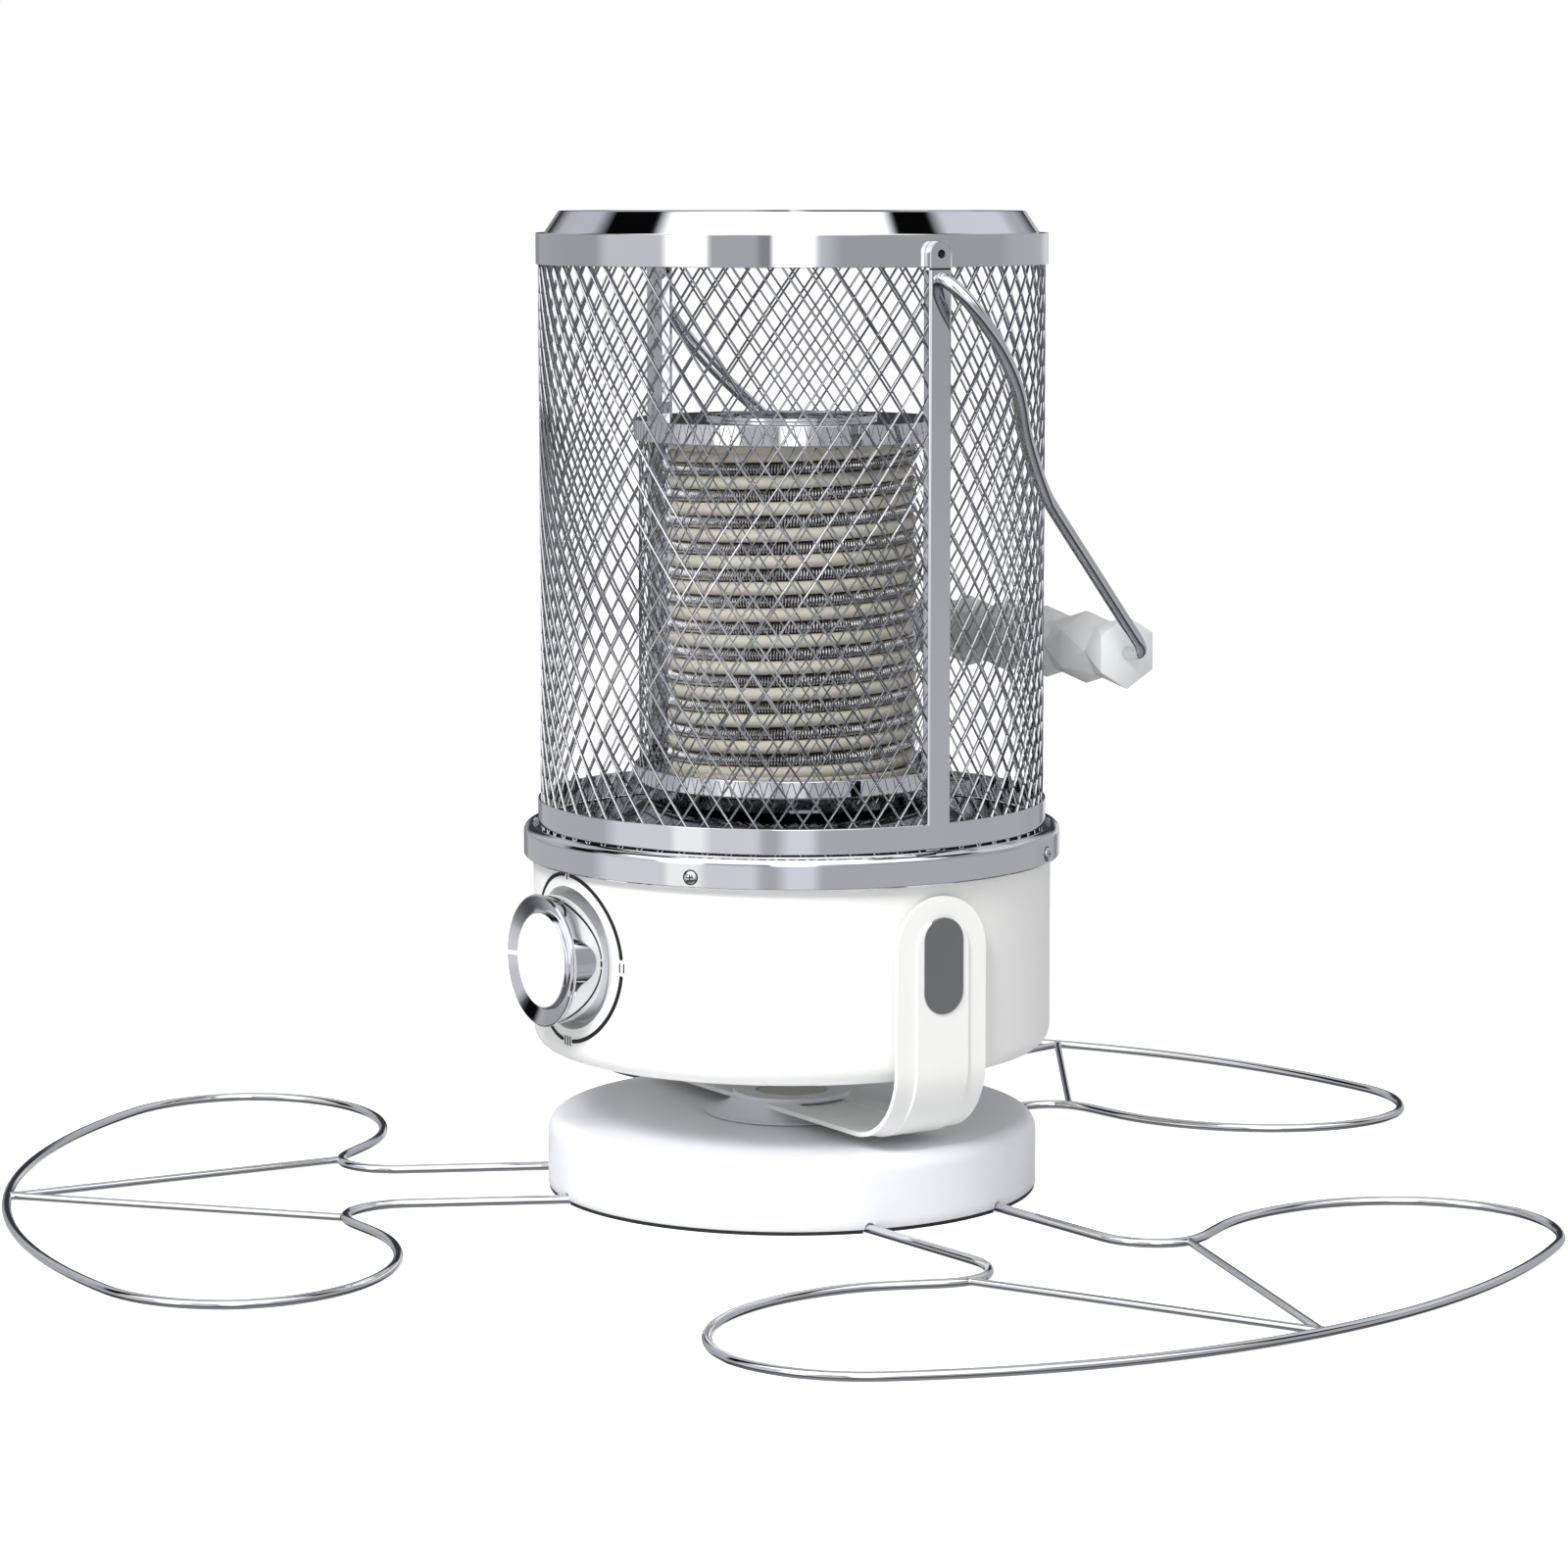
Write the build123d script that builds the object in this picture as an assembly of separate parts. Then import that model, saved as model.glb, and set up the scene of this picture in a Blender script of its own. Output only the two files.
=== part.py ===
from build123d import *
import math
import os

# A table-size electric patio heater: a wound ceramic core in a round mesh guard, over a switch
# housing that tilts in a yoke, on a weighted base with three bent-wire feet.
# Millimetres. The floor is z 0, the heater's axis is Z, the dial faces -Y and the yoke arms are on X.

# Fits, shared by all pieces
run_gap = 0.05
seat_gap = 0.1
pass_gap = 0.4
wire_gap = 0.08
overrun = 3.0

# Base
base_radius = 96.65
base_top = 29.0
base_wall = 2.5
base_edge_radius = 6.5
rubber_lip = 1.4
rubber_inset = 0.4
rubber_width = 7.0
plate_bottom = 5.0
plate_thickness = 1.5
ballast_radius = 75.0
ballast_height = 15.0
ballast_bore = 13.0
base_boss_circle = 81.5
base_boss_radius = 4.0
base_screw_radius = 1.5
base_screw_head_radius = 2.9
base_screw_head_height = 1.6
base_screw_length = 12.0
centre_pad_radius = 14.0

# Wire feet, in each foot's own axes: u runs outwards and v across
foot_count = 3
feet_turn = 4.0
foot_wire = 3.5
foot_reach = 308.0
neck_half = 31.0
neck_inner_end = 38.0
neck_corner_share = 0.5974
neck_bend = 18.0
lobe_radius_share = 0.1818
lobe_centre_share = 0.7013
neck_corner_reach = foot_reach * neck_corner_share
lobe_radius = foot_reach * lobe_radius_share
lobe_centre_reach = foot_reach * lobe_centre_share
brace_wire = 2.8
clip_inner = 44.0
clip_outer = 78.0
clip_lift = 0.8
clip_half_width = 4.0
clip_bridge = 10.0
notch_gap = 0.6

# Tip-over switch in the base
tip_turn = 64.0
tip_circle = 45.0
tip_plunger_radius = 3.0
tip_plunger_length = 16.0
tip_floor_gap = 0.3
tip_case_width = 16.0
tip_case_height = 14.0

# Swivel hub
pivot_radius = 9.9
pivot_flange_radius = 18.0
pivot_flange_thickness = 2.0
skirt_radius = 34.7
skirt_top_radius = 22.4
skirt_edge = 0.5
hub_disc_radius = 23.3
hub_disc_thickness = 1.8
hub_opening_radius = 14.4
hub_cap_thickness = 0.6
slip_washer_inner = 12.0
slip_washer_outer = 20.0
slip_washer_thickness = 0.3
keeper_radius = 13.4
keeper_thickness = 0.8
pivot_screw_radius = 4.0
pivot_screw_head_radius = 7.5
pivot_screw_head_height = 2.6
pivot_screw_length = 18.0

# Housing radius, which the yoke, the rim, the dial and the guard are fitted to
housing_radius = 102.07

# Yoke: a bent strip with a stepped middle panel
yoke_width = 40.4
yoke_sheet = 1.8
yoke_step = 0.9
yoke_clearance = 1.43
yoke_inner_half = housing_radius + yoke_clearance
yoke_bend_radius = 27.4
yoke_strip_underside = 32.9
yoke_panel_width = 23.3
yoke_panel_wall = 1.2
tilt_height = 101.7
yoke_arm_rise = 6.1
yoke_arm_centre = tilt_height + yoke_arm_rise
tilt_pin_radius = 5.0
tilt_flange_radius = 8.0
tilt_nut_radius = 8.0
tilt_nut_thickness = 3.0
tilt_washer_radius = 8.0
cover_width = 17.4
cover_height = 36.6
cover_thickness = 1.4
cover_depth = 0.9

# Housing and rim
housing_wall = 2.2
housing_drop = 44.7
housing_bottom = tilt_height - housing_drop
housing_edge_radius = 8.0
rim_sheet = 3.67
rim_radius = housing_radius + rim_sheet
rim_rise = 30.8
rim_height = 12.3
rim_ledge_rise = 10.0
rim_bottom = tilt_height + rim_rise
rim_crest = rim_bottom + rim_height
rim_ledge = rim_bottom + rim_ledge_rise
rim_ledge_thickness = 1.2
rim_ledge_width = 11.07
rim_ledge_inner = housing_radius - rim_ledge_width
rim_lip_width = 1.4
rim_crest_width = 4.14
rim_crest_inner = rim_radius - rim_crest_width
rim_top_radius = 2.4
rim_bottom_radius = 0.8
rim_screw_rise = 4.2
rim_screw_height = rim_bottom + rim_screw_rise
rim_screw_turn = -53.5
rim_screw_count = 4
rim_screw_radius = 1.4
rim_screw_head_radius = 2.6
rim_screw_head_height = 1.1
rim_screw_length = 5.8
rim_screw_slot = 0.5

# Dial
dial_drop = 2.7
dial_height = tilt_height - dial_drop
dish_radius = 27.8
dish_floor_radius = 25.8
dish_depth = 5.27
dish_floor = housing_radius - dish_depth
dish_floor_thickness = 2.0
dish_lip = 0.9
dial_mark_radius = 32.2
dial_mark_line = 1.1
dial_mark_raise = 0.12
dial_bar_length = 3.4
dial_bar_width = 0.5
dial_bar_pitch = 1.9
dial_gap_top = 2.8
dial_gap_right = 5.3
dial_gap_bottom = 5.6
knob_radius = 24.6
knob_floor_gap = 1.4
knob_back = dish_floor + knob_floor_gap
knob_lip_radius = 25.4
knob_lip_width = 1.5
knob_cone_drop = 1.9
knob_depth = 17.6
knob_front = knob_back + knob_depth
knob_lip_back = knob_front - knob_cone_drop - knob_lip_width
knob_face_radius = 17.9
knob_face_recess = 0.5
knob_face_thickness = 1.2
knob_wall = 1.4
knob_pointer_width = 2.2
knob_pointer_depth = 1.4
knob_pointer_length = 3.4
knob_hub_radius = 6.5
shaft_radius = 3.0
shaft_length = 34.0
switch_width = 30.0
switch_depth = 20.0
bushing_reach = 4.8
bushing_radius = 5.0
switch_nut_radius = 8.0
switch_nut_thickness = 2.2

# Parts inside the housing
shield_drop = 4.5
shield_height = rim_bottom - shield_drop
shield_sheet = 1.0
block_length = 34.0
block_width = 14.0
block_height = 12.0
block_place = 36.0
cutout_radius = 8.0
cutout_height = 5.0
cutout_place = 32.0
gland_rise = 17.0
gland_height = housing_bottom + gland_rise
gland_radius = 6.5
gland_flange_radius = 8.5
gland_flange = 2.0
gland_depth = 9.0
gland_bore = 3.5

# Cage
ring_inset = 2.07
ring_radius = housing_radius - ring_inset
ring_sheet = 0.9
lower_ring_gap = 2.7
lower_ring_height = 9.6
lower_ring_bottom = rim_ledge + lower_ring_gap
lower_ring_top = lower_ring_bottom + lower_ring_height
lid_top = 384.6
lid_rise = 8.5
upper_ring_height = 12.3
upper_ring_top = lid_top - lid_rise
upper_ring_bottom = upper_ring_top - upper_ring_height
ring_lip = 3.0
mesh_wire = 1.2
mesh_ring_gap = 0.1
mesh_radius = ring_radius - ring_sheet - mesh_ring_gap - mesh_wire / 2
mesh_top_drop = 2.6
mesh_top = upper_ring_top - mesh_top_drop
mesh_columns = 12
mesh_rows = 11
mesh_edge = 5.5
mesh_strand = 2.0
mesh_seam_half = 3.7
lid_bevel = 9.0
lid_border = 13.0
lid_top_radius = ring_radius - lid_bevel
lid_panel_radius = lid_top_radius - lid_border
lid_sheet = 1.0
lid_flange = 1.2
lid_panel_sink = 1.2
post_width = 10.0
post_depth = 4.2
post_reach = 3.5
post_face = ring_radius + post_reach
post_sheet = 1.2
post_back = post_face - post_depth
post_drop = 1.0
post_top = upper_ring_bottom - post_drop
post_corner = 1.2
lug_gap = 0.8
lug_height = 10.3
lug_top = post_top + lug_gap + lug_height
lug_back = ring_radius + seat_gap
tongue_half = 3.2
tongue_depth = 1.1
rivet_drop = 5.1
rivet_height = lug_top - rivet_drop
rivet_radius = 1.6
rivet_head_radius = 2.6
rivet_recess = 0.7

# Heating core
core_band_radius = 62.0
core_rise = 18.5
core_band_height = 7.0
core_band_bottom = rim_ledge + core_rise
core_band_top = core_band_bottom + core_band_height
core_band_sheet = 1.3
core_plate_rise = 2.0
core_plate_bottom = core_band_bottom + core_plate_rise
core_plate_thickness = 1.5
inner_mesh_wire = 1.0
inner_mesh_radius = core_band_radius - core_band_sheet - seat_gap * 3 - inner_mesh_wire / 2
inner_mesh_drop = 3.4
inner_mesh_height = 135.9
inner_mesh_bottom = core_band_bottom - inner_mesh_drop
inner_mesh_top = inner_mesh_bottom + inner_mesh_height
inner_mesh_columns = 14
inner_mesh_rows = 7
top_cap_gap = 2.0
top_cap_height = 8.1
top_cap_bottom = inner_mesh_top + top_cap_gap
top_cap_top = top_cap_bottom + top_cap_height
top_cap_sheet = 1.2
top_cap_well_radius = 30.0
top_cap_well_depth = 3.0
top_cap_ring_radius = 33.5
top_cap_ring_height = 1.4
ceramic_root_radius = 44.6
ceramic_bore_radius = 36.0
rib_path_radius = 46.5
rib_radius = 2.45
rib_pitch = 10.2
rib_turns = 13
rib_first_rise = 1.2
rib_first_height = core_plate_bottom + rib_first_rise
helix_turn = 147.0
coil_path_radius = 46.85
coil_radius = 2.1
coil_half_turns = 23
clamp_length = 5.0
clamp_height = 4.0
collar_radius = 49.0
collar_height = 3.3
reflector_sheet = 0.8
reflector_rise = 2.5
reflector_height = 10.0
reflector_floor = rim_ledge + reflector_rise
reflector_top = reflector_floor + reflector_height
reflector_inset = 1.0
reflector_radius = mesh_radius - mesh_wire / 2 - reflector_inset
reflector_foot_radius = 72.0
reflector_top_radius = 57.0
standoff_count = 3
standoff_turn = -27.0
standoff_circle = 50.0
standoff_width = 12.0
standoff_depth = 4.0
tie_rod_radius = 3.0
tie_rod_drop = 9.0
tie_rod_rise = 0.8
tie_rod_bottom = reflector_top - tie_rod_drop
tie_rod_top = top_cap_top + tie_rod_rise
tie_nut_radius = 5.5
tie_nut_height = 2.8

# Bail
bail_wire = 5.3
bail_pivot_drop = 3.5
bail_pivot_height = post_top - bail_pivot_drop
bail_head_radius = 3.3
bail_head_thickness = 1.6
bail_turn_reach = 5.1
bail_turn_out = post_face + bail_turn_reach
bail_turn_bend = 6.0
bail_elbow_bend = 60.0
bail_widest_bend = 25.0
bail_shoulder_bend = 60.0
bail_arm_bend = 40.0
bail_corner_bend = 8.0
bail_span_share = 0.9144
bail_reach = (bail_pivot_height - lower_ring_top) * bail_span_share
bail_elbow_out = 4.4
bail_widest_out = 6.0
bail_elbow_half = bail_turn_out + bail_elbow_out
bail_widest_half = bail_turn_out + bail_widest_out
bail_shoulder_inset = 18.1
bail_shoulder_half = bail_turn_out - bail_shoulder_inset
bail_arm_inset = 10.0
bail_arm_half = bail_shoulder_half - bail_arm_inset
bail_elbow_share = 0.107
bail_widest_share = 0.2032
bail_shoulder_share = 0.4278
bail_arm_share = 0.5775
bail_grip_gap = 12.5
grip_half_length = bail_arm_half - bail_grip_gap
grip_lump_radius = 14.65
grip_waist_radius = 11.2
bail_rest_sine = (mesh_radius + mesh_wire / 2 + grip_lump_radius) / bail_reach
grip_sides = 6
grip_segments = 10

parts = {}


def polar(radius, angle):
    """Point at a radius and an angle in degrees from +X, in the floor plane."""
    return (radius * math.cos(math.radians(angle)), radius * math.sin(math.radians(angle)))


def tube_z(outer, inner, low, high):
    """Upright tube about the heater's axis, or a disc when its inner radius is zero."""
    solid = Pos(0, 0, (low + high) / 2) * Cylinder(outer, high - low)
    if inner > 0:
        solid -= Pos(0, 0, (low + high) / 2) * Cylinder(inner, high - low + 2 * overrun)
    return solid


def rod_x(radius, start, end, height):
    """Rod along X at a height."""
    return Pos((start + end) / 2, 0, height) * Rot(0, 90, 0) * Cylinder(radius, end - start)


def rod_y(radius, start, end, height):
    """Rod along Y at a height, from start to end."""
    return Pos(0, (start + end) / 2, height) * Rot(90, 0, 0) * Cylinder(radius, end - start)


def block(x_low, x_high, y_low, y_high, z_low, z_high):
    """Box between two corners."""
    place = Pos((x_low + x_high) / 2, (y_low + y_high) / 2, (z_low + z_high) / 2)
    return place * Box(x_high - x_low, y_high - y_low, z_high - z_low)


def spun(points):
    """Solid of revolution about Z from an outline of (radius, height) points."""
    outline = Polyline([(radius, 0, height) for radius, height in points], close=True)
    return revolve(make_face(outline), Axis.Z, 360)


def along_y(points):
    """Solid of revolution about the dial's axis from (radius, distance in front of the axis) points."""
    outline = Polyline([(radius, -front, dial_height) for radius, front in points], close=True)
    dial_axis = Axis((0, 0, dial_height), (0, 1, 0))
    return revolve(make_face(outline), dial_axis, 360)


def wire_along(path, radius):
    """Round wire swept along a path, square to its start."""
    section = Plane(path @ 0, z_dir=path % 0) * Circle(radius)
    return sweep(section, path=path)


def wire_foot_shape():
    """Lean of the lobes' inner sides from straight out, and how far across the lobe centres lie."""
    lobe_centre_half = math.sqrt((foot_reach - lobe_radius) ** 2 - lobe_centre_reach ** 2)
    along = lobe_centre_reach - neck_corner_reach
    across = lobe_centre_half - neck_half
    distance = math.hypot(along, across)
    lean = math.degrees(math.atan2(across, along) + math.asin(lobe_radius / distance))
    straight = math.sqrt(distance ** 2 - lobe_radius ** 2)
    return lean, straight, lobe_centre_half


def foot_path():
    """Centreline of one wire foot: neck, bend, lobe, outer arc, and the same back on the other side."""
    lean, straight, lobe_centre_half = wire_foot_shape()
    height = foot_wire / 2
    bend_run = neck_bend * math.tan(math.radians(lean / 2))
    lean_u = math.cos(math.radians(lean))
    lean_v = math.sin(math.radians(lean))
    lobe_end = math.degrees(math.atan2(lobe_centre_half, lobe_centre_reach))
    lobe_sweep = lean + 90 - lobe_end
    edges = []
    for side in (1, -1):
        bend_start = (neck_corner_reach - bend_run, side * neck_half, height)
        bend_end = (neck_corner_reach + bend_run * lean_u, side * (neck_half + bend_run * lean_v), height)
        tangent = (neck_corner_reach + straight * lean_u, side * (neck_half + straight * lean_v), height)
        bend_centre = (neck_corner_reach - bend_run, side * (neck_half + neck_bend), height)
        lobe_centre = (lobe_centre_reach, side * lobe_centre_half, height)
        edges += [
            Line((neck_inner_end, side * neck_half, height), bend_start),
            CenterArc(bend_centre, neck_bend, -90 * side, side * lean),
            Line(bend_end, tangent),
            CenterArc(lobe_centre, lobe_radius, side * (lean + 90), -side * lobe_sweep),
            CenterArc((0, 0, height), foot_reach, 0, side * lobe_end),
        ]
    return Wire(edges)


def wire_foot():
    """One petal foot: a run of wire with two braces from its notches to its outer end."""
    lean = wire_foot_shape()[0]
    height = foot_wire / 2
    start = Plane((neck_inner_end, neck_half, height), x_dir=(0, 1, 0), z_dir=(1, 0, 0))
    foot = sweep(start * Circle(foot_wire / 2), path=foot_path())
    notch_reach = neck_corner_reach - neck_bend * math.tan(math.radians(lean / 2)) + neck_bend
    for side in (1, -1):
        low = Vector(notch_reach, side * (neck_half + neck_bend), height)
        brace_axis = Vector(foot_reach, 0, height) - low
        brace = extrude(Plane(low, z_dir=brace_axis) * Circle(brace_wire / 2), brace_axis.length)
        foot += brace
    return foot


def foot_turns():
    """Directions of the feet, in degrees from +X."""
    return [feet_turn + 360 / foot_count * index for index in range(foot_count)]


def foot_clip():
    """Block under the bottom plate that grips both necks of one foot."""
    bore_radius = foot_wire / 2 + wire_gap
    middle = (clip_inner + clip_outer) / 2
    clip = block(middle - clip_bridge / 2, middle + clip_bridge / 2, -neck_half, neck_half,
                 foot_wire / 2, plate_bottom)
    for side in (1, -1):
        clip += block(clip_inner, clip_outer, side * neck_half - clip_half_width,
                      side * neck_half + clip_half_width, clip_lift, plate_bottom)
    for side in (1, -1):
        bore = rod_x(bore_radius, clip_inner - overrun, clip_outer + overrun, foot_wire / 2)
        clip -= Pos(0, side * neck_half, 0) * bore
    return clip


def build_feet():
    """Three wire feet and the blocks that hold them under the base."""
    clips = []
    for index, turn in enumerate(foot_turns()):
        parts["wire_foot_" + str(index + 1)] = Rot(0, 0, turn) * wire_foot()
        clips.append(Rot(0, 0, turn) * foot_clip())
    parts["foot_clips"] = Compound(clips)


def build_base():
    """Weighted base: shell, bottom plate, ballast, rubber, and the tip-over switch."""
    inner_radius = base_radius - base_wall
    plate_top = plate_bottom + plate_thickness
    inner_top = base_top - base_wall
    shell = tube_z(base_radius, 0, rubber_lip, base_top)
    shell = fillet(shell.edges().group_by(Axis.Z)[-1], base_edge_radius)
    hollow = tube_z(inner_radius, 0, rubber_lip - overrun, inner_top)
    hollow = fillet(hollow.edges().group_by(Axis.Z)[-1], base_edge_radius - base_wall)
    shell -= hollow
    plate = tube_z(inner_radius - seat_gap, 0, plate_bottom, plate_top)
    rubber_outer = inner_radius - seat_gap
    rubber = tube_z(rubber_outer, rubber_outer - rubber_width, 0, plate_bottom)
    rubber += tube_z(base_radius - rubber_inset, rubber_outer - rubber_width / 2, 0, rubber_lip)
    screws = []
    screw_hole_top = plate_bottom + base_screw_length + pass_gap
    for turn in foot_turns():
        x, y = polar(base_boss_circle, turn + 180 / foot_count)
        spot = Pos(x, y, 0)
        shell += spot * tube_z(base_boss_radius, 0, plate_top, inner_top)
        shell -= spot * tube_z(base_screw_radius + run_gap, 0, plate_top - overrun, screw_hole_top)
        plate -= spot * tube_z(base_screw_radius + run_gap, 0, plate_bottom - overrun, plate_top + overrun)
        head = tube_z(base_screw_head_radius, 0, plate_bottom - base_screw_head_height, plate_bottom)
        shank = tube_z(base_screw_radius, 0, plate_bottom, plate_bottom + base_screw_length)
        screws.append(spot * (head + shank))
    slot_half = foot_wire / 2 + notch_gap
    slot_top = foot_wire + notch_gap
    for turn in foot_turns():
        for side in (1, -1):
            slot = block(clip_inner, base_radius + overrun,
                         side * neck_half - slot_half, side * neck_half + slot_half, -overrun, slot_top)
            shell -= Rot(0, 0, turn) * slot
            rubber -= Rot(0, 0, turn) * slot
    shell -= tube_z(pivot_radius + seat_gap, 0, inner_top - overrun, base_top + overrun)
    ballast = tube_z(ballast_radius, ballast_bore, plate_top, plate_top + ballast_height)
    tip_x, tip_y = polar(tip_circle, tip_turn)
    tip_spot = Pos(tip_x, tip_y, 0)
    half = tip_case_width / 2
    room = half + pass_gap
    case = block(-half, half, -half, half, plate_top, plate_top + tip_case_height)
    plunger_top = tip_floor_gap + tip_plunger_length
    case -= tube_z(tip_plunger_radius + run_gap, 0, plate_top - overrun, plunger_top + run_gap)
    plate -= tip_spot * tube_z(tip_plunger_radius + pass_gap, 0, plate_bottom - overrun, plate_top + overrun)
    ballast -= tip_spot * block(-room, room, -room, room, plate_top - overrun,
                                plate_top + ballast_height + overrun)
    parts["base_shell"] = shell
    parts["bottom_plate"] = plate
    parts["rubber_ring"] = rubber
    parts["centre_pad"] = tube_z(centre_pad_radius, 0, 0, plate_bottom)
    parts["ballast"] = ballast
    parts["base_screws"] = Compound(screws)
    parts["tip_switch"] = tip_spot * case
    parts["tip_plunger"] = tip_spot * tube_z(tip_plunger_radius, 0, tip_floor_gap, plunger_top)


def strip_face(inner_offset, outer_offset):
    """U-shaped face of the yoke, between two offsets outwards from its inner surface."""
    low = yoke_strip_underside + yoke_step + yoke_sheet
    top = yoke_arm_centre + yoke_width
    faces = []
    for offset in (outer_offset, inner_offset):
        half = yoke_inner_half + offset
        corners = [(-half, 0, top), (-half, 0, low - offset), (half, 0, low - offset), (half, 0, top)]
        outline = FilletPolyline(*corners, radius=yoke_bend_radius + offset)
        faces.append(make_face([outline, Line(corners[-1], corners[0])]))
    return faces[0] - faces[1]


def arched(width):
    """Prism along X whose outline is an upright strip with a round top, as wide as the arms or panel."""
    reach = yoke_inner_half + yoke_sheet + yoke_step + overrun
    column = block(-reach, reach, -width / 2, width / 2, 0, yoke_arm_centre)
    return column + rod_x(width / 2, -reach, reach, yoke_arm_centre)


def oval_rod(radius, start, end):
    """Rod along X with the outline of the pivot covers."""
    straight = (cover_height - cover_width) / 2
    rod = block(start, end, -radius, radius, tilt_height - straight, tilt_height + straight)
    for side in (1, -1):
        rod += rod_x(radius, start, end, tilt_height + side * straight)
    return rod


def build_yoke():
    """Bent yoke strip, the pins that the housing tilts on, and the oval covers over them."""
    strip_floor = yoke_strip_underside + yoke_sheet
    rim_top = strip_floor + yoke_step
    panel_offset = yoke_sheet + yoke_step
    strip = extrude(strip_face(0, yoke_sheet), yoke_width / 2, both=True)
    panel = extrude(strip_face(yoke_sheet, panel_offset), yoke_panel_width / 2, both=True)
    channel_width = yoke_panel_width - 2 * yoke_panel_wall
    channel = extrude(strip_face(-seat_gap, yoke_step), channel_width / 2, both=True)
    strip &= arched(yoke_width)
    strip += panel & arched(yoke_panel_width)
    strip -= channel & arched(channel_width)
    strip -= tube_z(pivot_radius + run_gap, 0, 0, rim_top + overrun)
    strip -= tube_z(hub_opening_radius, 0, strip_floor, rim_top + overrun)
    channel_face = yoke_inner_half + yoke_step
    panel_face = yoke_inner_half + panel_offset
    cover_floor = panel_face - cover_depth
    wall_inner = housing_radius - housing_wall
    nut_outer = math.sqrt(wall_inner ** 2 - tilt_nut_radius ** 2) - pass_gap
    nut_inner = nut_outer - tilt_nut_thickness
    pin_bore = tilt_pin_radius + run_gap
    neck_radius = tilt_pin_radius - seat_gap
    washer_inner = housing_radius + seat_gap
    covers = []
    pins = []
    nuts = []
    washers = []
    for turn in (0, 180):
        side = Rot(0, 0, turn)
        covers.append(side * oval_rod(cover_width / 2, cover_floor, cover_floor + cover_thickness))
        strip -= side * oval_rod(cover_width / 2 + seat_gap, cover_floor, panel_face + overrun)
        strip -= side * rod_x(neck_radius + run_gap, yoke_inner_half - overrun, panel_face, tilt_height)
        pin = rod_x(tilt_pin_radius, nut_inner, channel_face, tilt_height)
        pin += rod_x(tilt_flange_radius, yoke_inner_half, channel_face, tilt_height)
        pin += rod_x(neck_radius, channel_face, cover_floor, tilt_height)
        pins.append(side * pin)
        nut = rod_x(tilt_nut_radius, nut_inner, nut_outer, tilt_height)
        nuts.append(side * (nut - rod_x(pin_bore, nut_inner - overrun, nut_outer + overrun, tilt_height)))
        washer = rod_x(tilt_washer_radius, washer_inner, yoke_inner_half - seat_gap, tilt_height)
        washers.append(side * (washer - rod_x(pin_bore, nut_outer, channel_face, tilt_height)))
    parts["yoke"] = strip
    parts["pivot_covers"] = Compound(covers)
    parts["tilt_pins"] = Compound(pins)
    parts["tilt_nuts"] = Compound(nuts)
    parts["tilt_washers"] = Compound(washers)


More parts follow.
